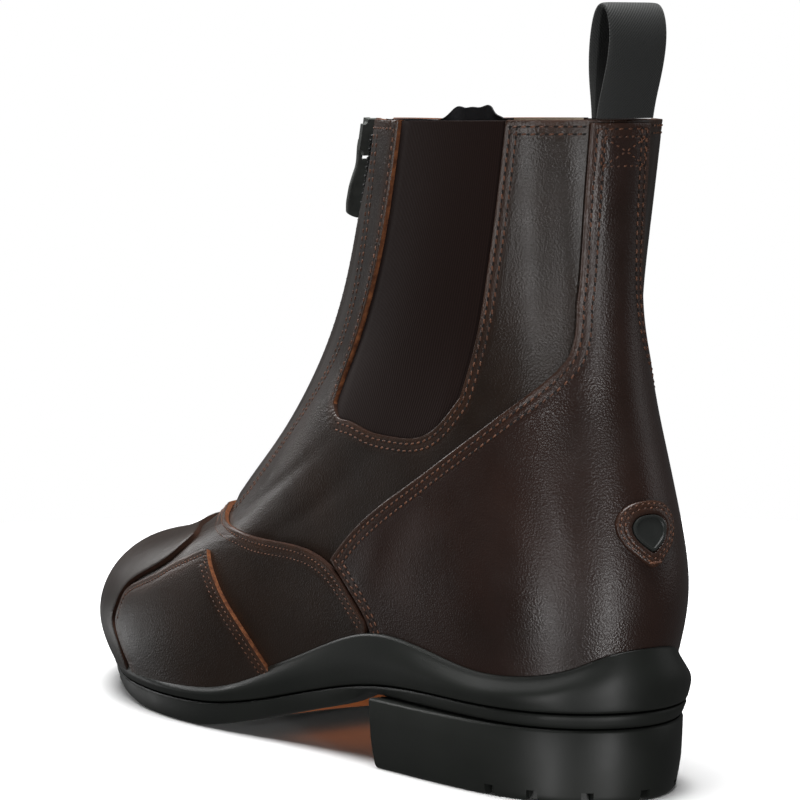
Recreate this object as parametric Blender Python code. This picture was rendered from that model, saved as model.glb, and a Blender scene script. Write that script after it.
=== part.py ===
"""Front-zip jodhpur boot for the left foot, as an assembly of solids.

The toe points along +X, the outer side of the foot is +Y and the boot stands on z = 0.
The origin is the middle of the heel's ground face. Sizes below are in millimetres.
"""

import bmesh
import bpy
import math
import numpy as np
from mathutils import Matrix, Vector

MM = 0.001

# Main sizes of the lasted upper
LENGTH = 273.8
BALL_WIDTH = 90.0
COLLAR_HEIGHT = 181.0
HEEL_HEIGHT = 20.4
HEEL_BACK = -38.3
HEEL_BREAST = 42.0

# Layers of the upper, measured out from its skin
WALL = 2.0
GAP = 0.5
OVER_GAP = 0.6
ZIP_GAP = 0.6
VAMP_TOP = 2.0
COUNTER_TOP = 1.6
GUARD_TOP = 3.5
CAP_TOP = 3.6
GUSSET_TOP = -0.8
GUSSET_BACK = -1.9
RIM_TOP = 2.6

# Each ring of the upper runs from a back point to a front point. Shares of LENGTH (back_x, front_x),
# of COLLAR_HEIGHT (back_z, front_z) and of BALL_WIDTH (heel to toe, half widths). dip is how much the
# ring follows the curve of the sole, and arch is the inner waist as a share of the outer.
RING_COLUMNS = ("name", "back_x", "back_z", "front_x", "front_z", "dip",
                "heel", "hip", "waist", "ball", "toe", "arch")
RINGS = (
    ("feather", 0.0175, 0.1597, 0.9799, 0.0663, 1.00, 0.233, 0.306, 0.333, 0.467, 0.345, 0.82),
    ("bulge", 0.0000, 0.2763, 1.0000, 0.1326, 0.88, 0.261, 0.342, 0.372, 0.500, 0.386, 0.88),
    ("side", 0.0022, 0.3674, 0.9781, 0.1989, 0.72, 0.256, 0.344, 0.378, 0.478, 0.353, 0.94),
    ("vamp_low", 0.0131, 0.4475, 0.9178, 0.2392, 0.52, 0.237, 0.333, 0.372, 0.422, 0.267, 0.97),
    ("vamp_high", 0.0248, 0.5194, 0.8265, 0.2735, 0.35, 0.216, 0.322, 0.361, 0.372, 0.183, 1.00),
    ("instep_low", 0.0367, 0.5967, 0.7352, 0.3646, 0.20, 0.193, 0.309, 0.350, 0.322, 0.139, 1.00),
    ("instep_high", 0.0440, 0.6851, 0.6476, 0.4585, 0.08, 0.171, 0.296, 0.339, 0.294, 0.131, 1.00),
    ("ankle", 0.0450, 0.7734, 0.5672, 0.5773, 0.00, 0.164, 0.296, 0.339, 0.278, 0.117, 1.00),
    ("shaft", 0.0410, 0.8840, 0.4978, 0.7458, 0.00, 0.173, 0.309, 0.356, 0.300, 0.117, 1.00),
    ("collar", 0.0340, 1.0000, 0.4467, 1.0000, 0.00, 0.183, 0.322, 0.372, 0.317, 0.122, 1.00),
)
BULGE_ROW = 1 / (len(RINGS) - 1)

# Places around a ring: turn from the back over the outer side, and share of the ring's length
STATIONS = ((0.0, 0.0), (0.075, 0.055), (0.165, 0.22), (0.255, 0.44), (0.345, 0.66),
            (0.435, 0.89), (0.5, 1.0))

# Curves against x: underside of the upper, middle line of the last, rubber rim, groove and tread
BOTTOM = ((-45, 29.0), (0, 28.5), (30, 27.5), (60, 22.5), (90, 15.0), (120, 10.6), (150, 9.4),
          (180, 9.4), (210, 10.6), (240, 13.0))
MIDDLE = ((-45, 0.0), (50, 0.0), (100, -1.5), (140, -5.0), (180, -10.5), (210, -14.5), (240, -16.5))
RIM = ((-44, 42.0), (-37, 41.0), (-31, 37.5), (-23, 34.5), (-12, 33.0), (2, 33.3), (15, 35.4),
       (30, 37.6), (44, 37.8), (58, 34.8), (70, 30.6), (82, 26.0), (96, 20.8), (111, 15.6),
       (128, 13.2), (150, 12.8), (185, 13.2), (215, 14.2), (240, 15.0))
GROOVE = ((-45, 24.8), (0, 24.6), (36, 24.0), (50, 22.4), (60, 20.6), (70, 18.4), (80, 16.0), (92, 13.0),
          (105, 10.2), (119, 8.2), (132, 7.5), (160, 7.2), (200, 7.6), (240, 9.5))
TREAD = ((-45, 21.5), (10, 22.5), (32, 22.5), (46, 20.9), (53, 18.3), (60, 15.6), (69, 13.0), (80, 10.3),
         (92, 7.2), (106, 3.7), (119, 1.1), (130, -0.2), (145, -0.6), (158, -0.1), (175, 1.0), (200, 2.9),
         (220, 4.8), (240, 7.4))

# Sides of the sole, grown from the widest ring of the upper
CUP_BULGE = 2.6
CUP_FOOT = 1.9
CUP_GROOVE = 0.4
OUTSOLE_TOP = 0.6
OUTSOLE_SIDE = 1.4
OUTSOLE_FOOT = -0.6
HEEL_TOP_GROW = 0.3
HEEL_FOOT_GROW = -1.5
HEEL_FLARE = 0.11
HEEL_SHAPE = (("top", HEEL_HEIGHT - 0.35, HEEL_TOP_GROW - 0.6), ("lip", HEEL_HEIGHT - 1.15, HEEL_TOP_GROW),
              ("middle", 9.0, HEEL_TOP_GROW - 0.5), ("edge", 1.0, HEEL_FOOT_GROW),
              ("ground", 0.0, HEEL_FOOT_GROW - 0.9))
BREAST_HOLLOW = 4.0
SOLE_GAP = 0.35

# How far the sole tucks in under the toe, and the turns from the ridge over which that fades
TOE_TUCK = 3.0
TUCK_TURN = 0.20
TUCK_FADE = 0.12

# Panel edges as turn and row of the upper's skin
VAMP_EDGE = ((0.204, 0.098), (0.206, 0.1075), (0.217, 0.1675), (0.232, 0.2325), (0.257, 0.295),
             (0.293, 0.3425), (0.33, 0.3875), (0.36, 0.408), (0.40, 0.435), (0.45, 0.468), (0.5, 0.482))
COUNTER_FRONT = ((0.05, 0.1985), (0.1075, 0.2045), (0.1675, 0.2155), (0.24, 0.2295), (1.0, 0.2295))
COUNTER_EDGE = ((0.0, 0.997), (0.075, 0.997), (0.15, 0.997), (0.165, 0.72), (0.185, 0.667), (0.225, 0.635),
                (0.28, 0.61), (0.36, 0.58), (0.45, 0.548), (0.54, 0.513), (0.63, 0.474), (0.72, 0.428),
                (0.81, 0.373), (0.91, 0.301), (1.0, 0.24))
CAP_SPREAD = ((0.05, 0.115), (0.08, 0.115), (0.133, 0.109), (0.16, 0.111), (0.213, 0.117), (0.265, 0.136),
              (0.323, 0.142), (0.37, 0.136), (0.41, 0.108), (0.44, 0.06), (0.462, 0.02))
GUARD_BACK = ((0.04, 0.270), (0.1225, 0.283), (0.1925, 0.298), (0.255, 0.312), (0.318, 0.327))
GUARD_FRONT = ((0.04, 0.379), (0.10, 0.384), (0.133, 0.386), (0.16, 0.384), (0.205, 0.378), (0.235, 0.362),
               (0.272, 0.349), (0.305, 0.336), (0.318, 0.331))
GUSSET_REAR = ((0.5, 0.166), (0.60, 0.158), (0.65, 0.155), (0.725, 0.152), (0.82, 0.149),
               (0.9075, 0.144), (1.0, 0.139))
GUSSET_FORE = ((0.5, 0.29), (0.66, 0.304), (0.72, 0.313), (0.80, 0.312), (0.90, 0.295), (1.0, 0.283))
GUSSET_FOOT = ((0.0, 0.60), (0.06, 0.562), (0.18, 0.534), (0.38, 0.545), (0.61, 0.575),
               (0.80, 0.610), (0.94, 0.638), (1.0, 0.668))
ZIP_END = 0.507
ZIP_TOP = 0.997

# Zip: half widths of tape and coil, and their heights above the skin
TAPE_HALF = 6.0
COIL_HALF = 2.5
TAPE_TOP = 1.4
COIL_TOP = 2.9
SLIDER_ROW = 0.985
SLIDER_HALF = (4.2, 5.5)
SLIDER_PLATE = (3.3, 4.6)
BRIDGE_HALF = 1.0
BRIDGE_PAD = 0.15
BRIDGE_TOP = (7.05, 7.95)
BRIDGE_POSTS = ((-4.8, -3.6), (2.9, 4.1))
TAB_AXIS = (1.6, 5.9)
TAB_THICK = 1.4
TAB_EYE = (1.5, 0.75, 5.7)
TAB_TWIST = math.radians(34)
TAB_TWIST_ROWS = (5.8, 9.6)
TAB_ROWS = ((-0.7, 3.2), (2.0, 3.3), (6.2, 2.9), (8.2, 2.9), (10.8, 3.5),
            (14.0, 4.1), (19.0, 4.3), (22.2, 3.8), (23.4, 2.6))

# Guard inside the zip: turns it covers, its lowest row, thickness and how far it stands over the collar
# between two turns on the inner side
ZIP_GUARD_TURNS = (0.455, 0.635)
ZIP_GUARD_STEP = (0.555, 0.59)
ZIP_GUARD_FOOT = 0.56
ZIP_GUARD_THICK = 1.2
ZIP_GUARD_RISE = 3.0

# Loop of ribbon: centre line from the outer end to the inner end, as x and z
LOOP_HALF = 9.5
LOOP_THICK = 1.4
LOOP_PATH = ((-29.7, 181.6), (-30.8, 187.0), (-32.9, 195.0), (-33.8, 203.0), (-32.4, 209.0),
             (-29.6, 211.2), (-26.9, 208.5), (-25.6, 201.0), (-25.9, 193.0), (-27.0, 186.5),
             (-27.75, 181.6))
LOOP_BOW = 0.021
LOOP_TOP = 211.9

# Patch at the back of the heel
BADGE_ROW = 0.262
BADGE_HALF = (9.4, 8.8)
BADGE_HOLE = 0.56
BADGE_TOP = 3.0
INSET_TOP = 2.5
BADGE_ROUND = 2.6
BADGE_NARROW = ((-1.0, 0.42), (-0.75, 0.58), (-0.4, 0.78), (0.0, 0.94), (0.35, 1.0), (1.0, 1.0))

# Tread: width and depth of the cuts, and their places along the foot
CUT_WIDTH = 4.0
CUT_DEPTH = 1.8
CUT_MARGIN = 11.0
FOREFOOT_CUTS = (104, 120, 136, 152, 168, 184, 200)
CUT_SLANT = math.radians(9)
HEEL_CUTS = (-18, 14)
HEEL_NOTCHES = (-78, -52, -26, 0, 26, 52, 78)
NOTCH_SIZE = (9.0, 3.2, 3.0)
NOTCH_REACH = (37.0, 31.0)

# Insert under the waist
INSERT_START = 45.0
INSERT_END = 94.0
INSERT_MARGIN = 8.0
INSERT_INNER = 0.8
INSERT_DEPTH = 1.3
INSERT_GAP = 0.3

INSOLE_THICK = 3.2
AROUND = 56
VAMP_ROWS = 12
CAP_ROWS = 12
COUNTER_ROWS = 15
COUNTER_CROWD = 1.35
BEND_WEIGHT = 30.0
ROWS = (0.0, 0.028, 0.06, 0.11, 0.165, 0.22, 0.28, 0.34, 0.375, 0.41, 0.44, 0.47, 0.50, 0.54, 0.58,
        0.63, 0.685, 0.74, 0.78, 0.82, 0.855, 0.89, 0.945, 1.0)

LEATHER = (0.12, 0.035, 0.022, 1.0)
RUBBER = (0.012, 0.013, 0.012, 1.0)
ELASTIC = (0.06, 0.018, 0.016, 1.0)
RIBBON = (0.008, 0.008, 0.009, 1.0)
METAL = (0.03, 0.03, 0.032, 1.0)
ORANGE = (0.42, 0.14, 0.05, 1.0)
LINING = (0.55, 0.46, 0.34, 1.0)


def spline(knots, values, at):
    """Natural cubic curve through rows of values, one row for each knot."""
    knots = np.asarray(knots, float)
    values = np.asarray(values, float).reshape(len(knots), -1)
    step = np.diff(knots)
    bend = np.eye(len(knots))
    for i in range(1, len(knots) - 1):
        bend[i, i - 1:i + 2] = step[i - 1], 2 * (step[i - 1] + step[i]), step[i]
    pull = np.zeros_like(values)
    pull[1:-1] = 6 * np.diff(np.diff(values, axis=0) / step[:, None], axis=0)
    curl = np.linalg.solve(bend, pull)
    at = np.asarray(at, float)
    i = np.clip(np.searchsorted(knots, at.ravel()) - 1, 0, len(knots) - 2)
    after = (at.ravel() - knots[i])[:, None]
    span = step[i][:, None]
    before = span - after
    result = (curl[i] * before ** 3 + curl[i + 1] * after ** 3) / (6 * span)
    result += (values[i] / span - curl[i] * span / 6) * before
    result += (values[i + 1] / span - curl[i + 1] * span / 6) * after
    return result.reshape(at.shape + (values.shape[1],))


def curve(table, x):
    """Smooth value of a two-column table, held at its ends."""
    table = np.asarray(table, float)
    return spline(table[:, 0], table[:, 1], np.clip(x, table[0, 0], table[-1, 0]))[..., 0]


def broken(table, x):
    """Value of a two-column table along straight lines."""
    table = np.asarray(table, float)
    return np.interp(x, table[:, 0], table[:, 1])


def around_ring(values, turn):
    """Closed smooth curve through one value for each place around a ring."""
    half = [place[0] for place in STATIONS]
    turns = half + [1 - place for place in half[-2:0:-1]]
    knots = np.concatenate([np.array(turns) + lap for lap in (-1, 0, 1)])
    return spline(knots, np.tile(values, 3), np.asarray(turn, float) % 1.0)[..., 0]


def ring_points(turn):
    """Points of every ring at the given turns."""
    shares = [place[1] for place in STATIONS]
    share = around_ring(shares + shares[-2:0:-1], turn)
    points = []
    for row in RINGS:
        ring = dict(zip(RING_COLUMNS, row))
        back, front = (HEEL_BACK + LENGTH * ring[key] for key in ("back_x", "front_x"))
        low, high = (COLLAR_HEIGHT * ring[key] for key in ("back_z", "front_z"))
        heel, hip, waist, ball, toe = (BALL_WIDTH * ring[key] for key in ("heel", "hip", "waist", "ball", "toe"))
        half = around_ring([0, heel, hip, waist, ball, toe, 0, -toe, -ball, -waist * ring["arch"], -hip, -heel],
                           turn)
        x = back + (front - back) * share
        line = curve(BOTTOM, back) + (curve(BOTTOM, front) - curve(BOTTOM, back)) * share
        z = low + (high - low) * share + ring["dip"] * (curve(BOTTOM, x) - line)
        points.append(np.stack([x, curve(MIDDLE, x) + half, z], -1))
    return np.stack(points, -2)


def surface(turn, row):
    """Outer skin of the upper: turn goes around, row goes from the feather edge to the collar."""
    turn, row = np.broadcast_arrays(np.asarray(turn, float), np.asarray(row, float))
    weight = spline(np.linspace(0, 1, len(RINGS)), np.eye(len(RINGS)), row)
    return np.einsum("...r,...rk->...k", weight, ring_points(turn))


def normal(turn, row):
    """Outward direction of the skin."""
    turn, row = np.broadcast_arrays(np.asarray(turn, float), np.asarray(row, float))
    small = 1e-3
    across = surface(turn + small, row) - surface(turn - small, row)
    up = surface(turn, np.minimum(row + small, 1)) - surface(turn, np.maximum(row - small, 0))
    out = np.cross(up, across)
    return out / np.linalg.norm(out, axis=-1, keepdims=True)


def skin(turn, row, lift):
    """Skin moved out by a lift."""
    return surface(turn, row) + normal(turn, row) * np.asarray(lift, float)[..., None]


def row_at(turn, table, above):
    """Row where the skin crosses a height table, moved up by a margin."""
    low = np.zeros_like(turn)
    high = np.full_like(turn, 0.3)
    for _ in range(40):
        middle = (low + high) / 2
        point = surface(turn, middle)
        over = point[..., 2] > curve(table, point[..., 0]) + above
        high = np.where(over, middle, high)
        low = np.where(over, low, middle)
    return (low + high) / 2


def outline(turn, grow):
    """Widest ring of the upper seen from above, grown outwards."""
    point = surface(turn, BULGE_ROW)
    out = normal(turn, BULGE_ROW)[..., :2]
    out = out / np.linalg.norm(out, axis=-1, keepdims=True)
    return point[..., :2] + out * np.asarray(grow)[..., None]


def sole_outline(turn, grow):
    """Outline of the sole, which tucks in under the toe."""
    near = np.clip((TUCK_TURN - abs(turn % 1.0 - 0.5)) / TUCK_FADE, 0, 1)
    return outline(turn, grow - TOE_TUCK * near ** 2 * (3 - 2 * near))


def even_turns():
    """Turns that share out the widest ring, closer where it bends, the same on both sides."""
    fine = np.linspace(0, 0.5, 801)
    steps = np.diff(surface(fine, BULGE_ROW)[:, :2], axis=0)
    heading = np.unwrap(np.arctan2(steps[:, 1], steps[:, 0]))
    pace = np.linalg.norm(steps, axis=1) + BEND_WEIGHT * abs(np.gradient(heading))
    length = np.concatenate([[0], np.cumsum(pace)])
    half = np.interp(np.linspace(0, length[-1], AROUND // 2 + 1), length, fine)
    return np.concatenate([half, 1 - half[-2:0:-1]])


def material(name, colour, roughness):
    made = bpy.data.materials.new(name)
    made.use_nodes = True
    shader = made.node_tree.nodes["Principled BSDF"]
    shader.inputs["Base Color"].default_value = colour
    shader.inputs["Roughness"].default_value = roughness
    return made


def collection(name):
    made = bpy.data.collections.new(name)
    bpy.context.scene.collection.children.link(made)
    return made


def finish(name, bm, colour, roughness, target):
    """Closes a mesh, points its faces out and links it as a named object."""
    bmesh.ops.remove_doubles(bm, verts=bm.verts, dist=1e-7)
    bmesh.ops.recalc_face_normals(bm, faces=bm.faces)
    mesh = bpy.data.meshes.new(name)
    bm.to_mesh(mesh)
    bm.free()
    made = bpy.data.objects.new(name, mesh)
    made.data.materials.append(material(name, colour, roughness))
    target.objects.link(made)
    return made


def place(bm, points):
    """Adds a grid of points in millimetres and gives back rows of vertices."""
    return [[bm.verts.new(Vector(point) * MM) for point in row] for row in points]


def join(bm, first, second, closed):
    """Quads between two rows of vertices."""
    count = len(first)
    for i in range(count if closed else count - 1):
        j = (i + 1) % count
        bm.faces.new((first[i], first[j], second[j], second[i]))


def shell(bm, outer, inner, closed=False):
    """Closed solid between two grids of the same shape; closed grids run around."""
    tops = place(bm, outer)
    backs = place(bm, inner)
    for grid in (tops, backs):
        for low, high in zip(grid, grid[1:]):
            join(bm, low, high, closed)
    join(bm, tops[0], backs[0], closed)
    join(bm, tops[-1], backs[-1], closed)
    if not closed:
        for side in (0, -1):
            join(bm, [row[side] for row in tops], [row[side] for row in backs], False)


def stack(bm, rings):
    """Closed solid from a stack of rings whose first and last are crossed from side to side."""
    rows = place(bm, rings)
    for low, high in zip(rows, rows[1:]):
        join(bm, low, high, True)
    for row in (rows[0], rows[-1]):
        half = len(row) // 2
        bm.faces.new((row[0], row[1], row[-1]))
        for i in range(1, half - 1):
            bm.faces.new((row[i], row[i + 1], row[-i - 1], row[-i]))
        bm.faces.new((row[half - 1], row[half], row[half + 1]))


def prism(bm, rings):
    """Closed solid from a stack of rings with many-sided ends."""
    rows = place(bm, rings)
    for low, high in zip(rows, rows[1:]):
        join(bm, low, high, True)
    ends = [bm.faces.new(row) for row in (rows[0], rows[-1])]
    bmesh.ops.triangulate(bm, faces=ends, ngon_method="EAR_CLIP")


def box(bm, low, high, turn=None):
    """Box between two corners in millimetres, then moved by a matrix in metres."""
    made = bmesh.ops.create_cube(bm, size=1.0)["verts"]
    size = [(b - a) * MM for a, b in zip(low, high)]
    middle = [(a + b) / 2 * MM for a, b in zip(low, high)]
    move = Matrix.Translation(middle) @ Matrix.Diagonal(size + [1.0])
    bmesh.ops.transform(bm, matrix=(turn or Matrix()) @ move, verts=made)


def cut(target, cutter):
    """Takes a cutter away from an object."""
    cutter.hide_render = True
    cutter.display_type = "WIRE"
    taken = target.modifiers.new(cutter.name, "BOOLEAN")
    taken.operation = "DIFFERENCE"
    taken.solver = "EXACT"
    taken.object = cutter


def flat(points, table, above):
    """Sets the height of points from a table against x."""
    points = points.copy()
    points[..., 2] = curve(table, points[..., 0]) + above
    return points


def level(xy, height):
    """Adds a height to points seen from above."""
    return np.concatenate([xy, np.broadcast_to(height, xy.shape[:-1])[..., None]], -1)


def patch(bm, turn, row, low, high, seat=False):
    """Closed piece of skin between two lifts; a seated piece ends level above the rubber rim."""
    outer, inner = skin(turn, row, high), skin(turn, row, low)
    if seat:
        for grid in (outer, inner):
            grid[0] = flat(grid[0], RIM, GAP)
    shell(bm, outer, inner)


def make_upper(parts, cutters):
    turn, row = np.meshgrid(even_turns(), ROWS)
    bm = bmesh.new()
    shell(bm, skin(turn, row, 0.0), skin(turn, row, -WALL), closed=True)
    upper = finish("upper", bm, LEATHER, 0.4, parts)
    for side in ("lateral", "medial"):
        bm = bmesh.new()
        turn, row = gusset_grid(0.0, side)
        reach = WALL + 3
        rise = np.array([0, 0, reach])
        outer, inner = skin(turn, row, reach), skin(turn, row, -reach)
        outer = np.concatenate([outer, outer[-1:] + rise])
        inner = np.concatenate([inner, inner[-1:] + rise])
        shell(bm, outer, inner)
        cut(upper, finish("gusset_window_" + side, bm, LEATHER, 0.5, cutters))


def gusset_grid(inset, side):
    """Turn and row over the elastic panel, moved in from its edges by a margin in millimetres."""
    across, up = np.meshgrid(np.linspace(0, 1, 10), np.linspace(0, 1, 11))
    foot = curve(GUSSET_FOOT, across) + inset / 190.0
    row = foot + (1.0 - inset / 200.0 - foot) * up
    margin = inset / 290.0
    rear, fore = curve(GUSSET_REAR, row) + margin, curve(GUSSET_FORE, row) - margin
    turn = rear + (fore - rear) * across
    return (turn if side == "lateral" else 1 - turn), row


def make_gussets(parts):
    for side in ("lateral", "medial"):
        bm = bmesh.new()
        turn, row = gusset_grid(0.45, side)
        patch(bm, turn, row, GUSSET_BACK, GUSSET_TOP)
        finish("gusset_" + side, bm, ELASTIC, 0.8, parts)


def make_vamp(parts):
    turns = even_turns()
    start = VAMP_EDGE[0][0]
    inside = turns[(turns > start + 0.004) & (turns < 1 - start - 0.004)]
    across = np.concatenate([[start], inside, [1 - start]])
    edge = curve(VAMP_EDGE, np.minimum(across, 1 - across))
    low = row_at(across, RIM, GAP)
    up = np.linspace(0, 1, VAMP_ROWS)[:, None]
    bm = bmesh.new()
    patch(bm, np.broadcast_to(across, (VAMP_ROWS, len(across))), low + (edge - low) * up, GAP, VAMP_TOP, seat=True)
    finish("vamp", bm, LEATHER, 0.4, parts)


def make_counter(parts):
    share = np.array([place_[0] for place_ in COUNTER_EDGE])
    share = np.concatenate([-share[:0:-1], share])
    edge = broken(COUNTER_EDGE, abs(share))
    up = np.linspace(0, 1, COUNTER_ROWS)[:, None] ** COUNTER_CROWD
    guess = 0.06 + (edge - 0.06) * up
    turn = share * curve(COUNTER_FRONT, guess)
    low = row_at(turn[0], RIM, GAP)
    bm = bmesh.new()
    patch(bm, turn, low + (edge - low) * up, GAP, COUNTER_TOP, seat=True)
    finish("counter", bm, LEATHER, 0.4, parts)


def make_toe_cap(parts):
    side = np.linspace(-1, 1, 21)
    up = np.linspace(0, 1, CAP_ROWS)[:, None]
    tip = CAP_SPREAD[-1][0]
    spread = curve(CAP_SPREAD, CAP_SPREAD[0][0] + (tip - CAP_SPREAD[0][0]) * up)
    turn = 0.5 + side * spread
    low = row_at(turn[0], RIM, GAP)
    bm = bmesh.new()
    patch(bm, turn, low + (tip - low) * up, VAMP_TOP + OVER_GAP, CAP_TOP, seat=True)
    finish("toe_cap", bm, LEATHER, 0.4, parts)


def make_guards(parts):
    up = np.linspace(0, 1, 8)[:, None]
    tip = GUARD_BACK[-1][0]
    rows = GUARD_BACK[0][0] + (tip - GUARD_BACK[0][0]) * up
    back, front = curve(GUARD_BACK, rows), curve(GUARD_FRONT, rows)
    for side in ("lateral", "medial"):
        turn = back + (front - back) * np.linspace(0, 1, 10)
        if side == "medial":
            turn = 1 - turn
        low = row_at(turn[0], RIM, GAP)
        bm = bmesh.new()
        patch(bm, turn, low + (tip - low) * up, VAMP_TOP + OVER_GAP, GUARD_TOP, seat=True)
        finish("guard_" + side, bm, LEATHER, 0.4, parts)


def make_sole_cup(parts):
    turn = even_turns()
    rim = row_at(turn, RIM, 0.0)
    floor = flat(skin(turn, 0.0, SOLE_GAP), BOTTOM, -SOLE_GAP)
    wall = skin(turn, rim * 0.5, SOLE_GAP)
    inner = flat(skin(turn, rim, SOLE_GAP), RIM, 0.0)
    outer = flat(skin(turn, rim, RIM_TOP), RIM, -0.3)
    bulge = level(sole_outline(turn, CUP_BULGE), 0.0)
    bulge[:, 2] = 0.5 * (curve(RIM, bulge[:, 0]) + curve(GROOVE, bulge[:, 0]))
    foot = flat(level(sole_outline(turn, CUP_FOOT), 0.0), GROOVE, 0.8)
    groove = flat(level(sole_outline(turn, CUP_GROOVE), 0.0), GROOVE, 0.0)
    bm = bmesh.new()
    stack(bm, [floor, wall, inner, outer, bulge, foot, groove])
    finish("sole_cup", bm, RUBBER, 0.5, parts)


def tread(x):
    """Height of the tread, flat over the heel and on the ground under the ball of the foot."""
    return np.clip(curve(TREAD, x), 0.0, HEEL_HEIGHT)


def make_outsole(parts, cutters):
    turn = even_turns()
    top = flat(level(sole_outline(turn, OUTSOLE_TOP), 0.0), GROOVE, -SOLE_GAP)
    side = flat(level(sole_outline(turn, OUTSOLE_SIDE), 0.0), GROOVE, -0.9)
    low = level(sole_outline(turn, OUTSOLE_FOOT + 1.0), 0.0)
    low[:, 2] = tread(low[:, 0]) + 0.8
    foot = level(sole_outline(turn, OUTSOLE_FOOT), 0.0)
    foot[:, 2] = tread(foot[:, 0])
    bm = bmesh.new()
    stack(bm, [top, side, low, foot])
    outsole = finish("outsole", bm, RUBBER, 0.55, parts)
    bm = bmesh.new()
    for x in FOREFOOT_CUTS:
        half = half_width(x) - CUT_MARGIN
        turned = Matrix.Translation((x * MM, float(curve(MIDDLE, x)) * MM, 0)) @ Matrix.Rotation(CUT_SLANT, 4, "Z")
        box(bm, (-CUT_WIDTH / 2, -half, -5), (CUT_WIDTH / 2, half, float(tread(x)) + CUT_DEPTH), turned)
    cut(outsole, finish("forefoot_cuts", bm, RUBBER, 0.5, cutters))
    bm = bmesh.new()
    insert_solid(bm, INSERT_GAP, -4.0, INSERT_DEPTH + INSERT_GAP)
    cut(outsole, finish("waist_pocket", bm, RUBBER, 0.5, cutters))


def half_width(x):
    """Half the width of the widest ring at a place along the foot."""
    turn = np.linspace(0.02, 0.48, 200)
    edge = outline(turn, 0.0)
    return float(np.interp(x, edge[:, 0], edge[:, 1] - curve(MIDDLE, edge[:, 0])))


def insert_solid(bm, grow, low, high):
    """Plate that follows the waist, between two heights above the tread."""
    rings = []
    for x in np.linspace(INSERT_START - grow, INSERT_END + grow, 9):
        half = half_width(x) - INSERT_MARGIN + grow
        middle, base = float(curve(MIDDLE, x)), float(tread(x))
        inner = middle - half * INSERT_INNER
        rings.append([(x, inner, base + low), (x, middle + half, base + low),
                      (x, middle + half, base + high), (x, inner, base + high)])
    prism(bm, rings)


def make_waist_insert(parts):
    bm = bmesh.new()
    insert_solid(bm, 0.0, 0.05, INSERT_DEPTH)
    finish("waist_insert", bm, ORANGE, 0.6, parts)


def make_heel(parts, cutters):
    fine = np.linspace(0, 0.3, 400)
    edge = outline(fine, 0.0)
    end = float(np.interp(HEEL_BREAST, edge[:, 0], fine))
    turn = np.linspace(-end, end, 35)
    rings = []
    for _, height, grow in HEEL_SHAPE:
        back = outline(turn, grow)
        back[:, 1] *= 1 + HEEL_FLARE * (back[:, 0] - HEEL_BACK) / (HEEL_BREAST - HEEL_BACK)
        corner_a, corner_b = back[-1], back[0]
        share = np.linspace(0, 1, 8)[1:-1, None]
        breast = corner_a + (corner_b - corner_a) * share
        breast[:, 0] -= BREAST_HOLLOW * np.sin(np.pi * share[:, 0])
        rings.append(level(np.concatenate([back, breast]), height))
    bm = bmesh.new()
    prism(bm, rings)
    heel = finish("heel_block", bm, RUBBER, 0.5, parts)
    bm = bmesh.new()
    for x in HEEL_CUTS:
        half = half_width(x) - CUT_MARGIN
        box(bm, (x - CUT_WIDTH / 2, -half, -5), (x + CUT_WIDTH / 2, half, CUT_DEPTH))
    deep, wide, tall = NOTCH_SIZE
    for angle in HEEL_NOTCHES:
        turned = Matrix.Rotation(math.radians(180 - angle), 4, "Z")
        reach = float(np.interp(abs(math.sin(math.radians(angle))), (0, 1), NOTCH_REACH))
        box(bm, (reach - deep / 2, -wide / 2, -5), (reach + deep, wide / 2, tall), turned)
    cut(heel, finish("heel_cuts", bm, RUBBER, 0.5, cutters))


def make_insole(parts):
    turn = even_turns()
    inside = -WALL - 0.6
    low = flat(skin(turn, 0.0, inside - 0.6), BOTTOM, 0.1)
    edge = flat(skin(turn, 0.006, inside), BOTTOM, 1.6)
    high = flat(skin(turn, 0.014, inside - 0.5), BOTTOM, INSOLE_THICK)
    bm = bmesh.new()
    stack(bm, [low, edge, high])
    finish("insole", bm, LINING, 0.8, parts)


def ridge_turn(row, across):
    """Turn that lies a distance to the outer side of the ridge."""
    small = 1e-3
    pace = np.linalg.norm(surface(0.5 - small, row) - surface(0.5 + small, row), axis=-1) / (2 * small)
    return 0.5 - across / pace


def make_zip(parts):
    section = ((-TAPE_HALF, ZIP_GAP), (-3.0, ZIP_GAP), (0.0, ZIP_GAP), (3.0, ZIP_GAP), (TAPE_HALF, ZIP_GAP),
               (TAPE_HALF, TAPE_TOP), (COIL_HALF, TAPE_TOP), (COIL_HALF - 0.3, COIL_TOP), (0.0, COIL_TOP),
               (0.3 - COIL_HALF, COIL_TOP), (-COIL_HALF, TAPE_TOP), (-TAPE_HALF, TAPE_TOP))
    rows = np.linspace(ZIP_END, ZIP_TOP, 16)
    rings = []
    for row in rows:
        across = np.array([point[0] for point in section])
        rings.append(skin(ridge_turn(row, across), row, np.array([point[1] for point in section])))
    bm = bmesh.new()
    prism(bm, rings)
    finish("zip_chain", bm, METAL, 0.6, parts)


def make_zip_guard(parts):
    turn, row = np.meshgrid(np.linspace(*ZIP_GUARD_TURNS, 16), np.linspace(ZIP_GUARD_FOOT, 1.0, 12))
    rise = np.zeros((1, turn.shape[1], 3))
    rise[0, :, 2] = 0.4 + ZIP_GUARD_RISE * np.clip((turn[0] - ZIP_GUARD_STEP[0]) / np.ptp(ZIP_GUARD_STEP), 0, 1)
    grids = []
    for lift in (-WALL - GAP, -WALL - GAP - ZIP_GUARD_THICK):
        grid = skin(turn, row, lift)
        grids.append(np.concatenate([grid, grid[-1:] + rise]))
    bm = bmesh.new()
    shell(bm, *grids)
    finish("zip_guard", bm, RIBBON, 0.8, parts)


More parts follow.
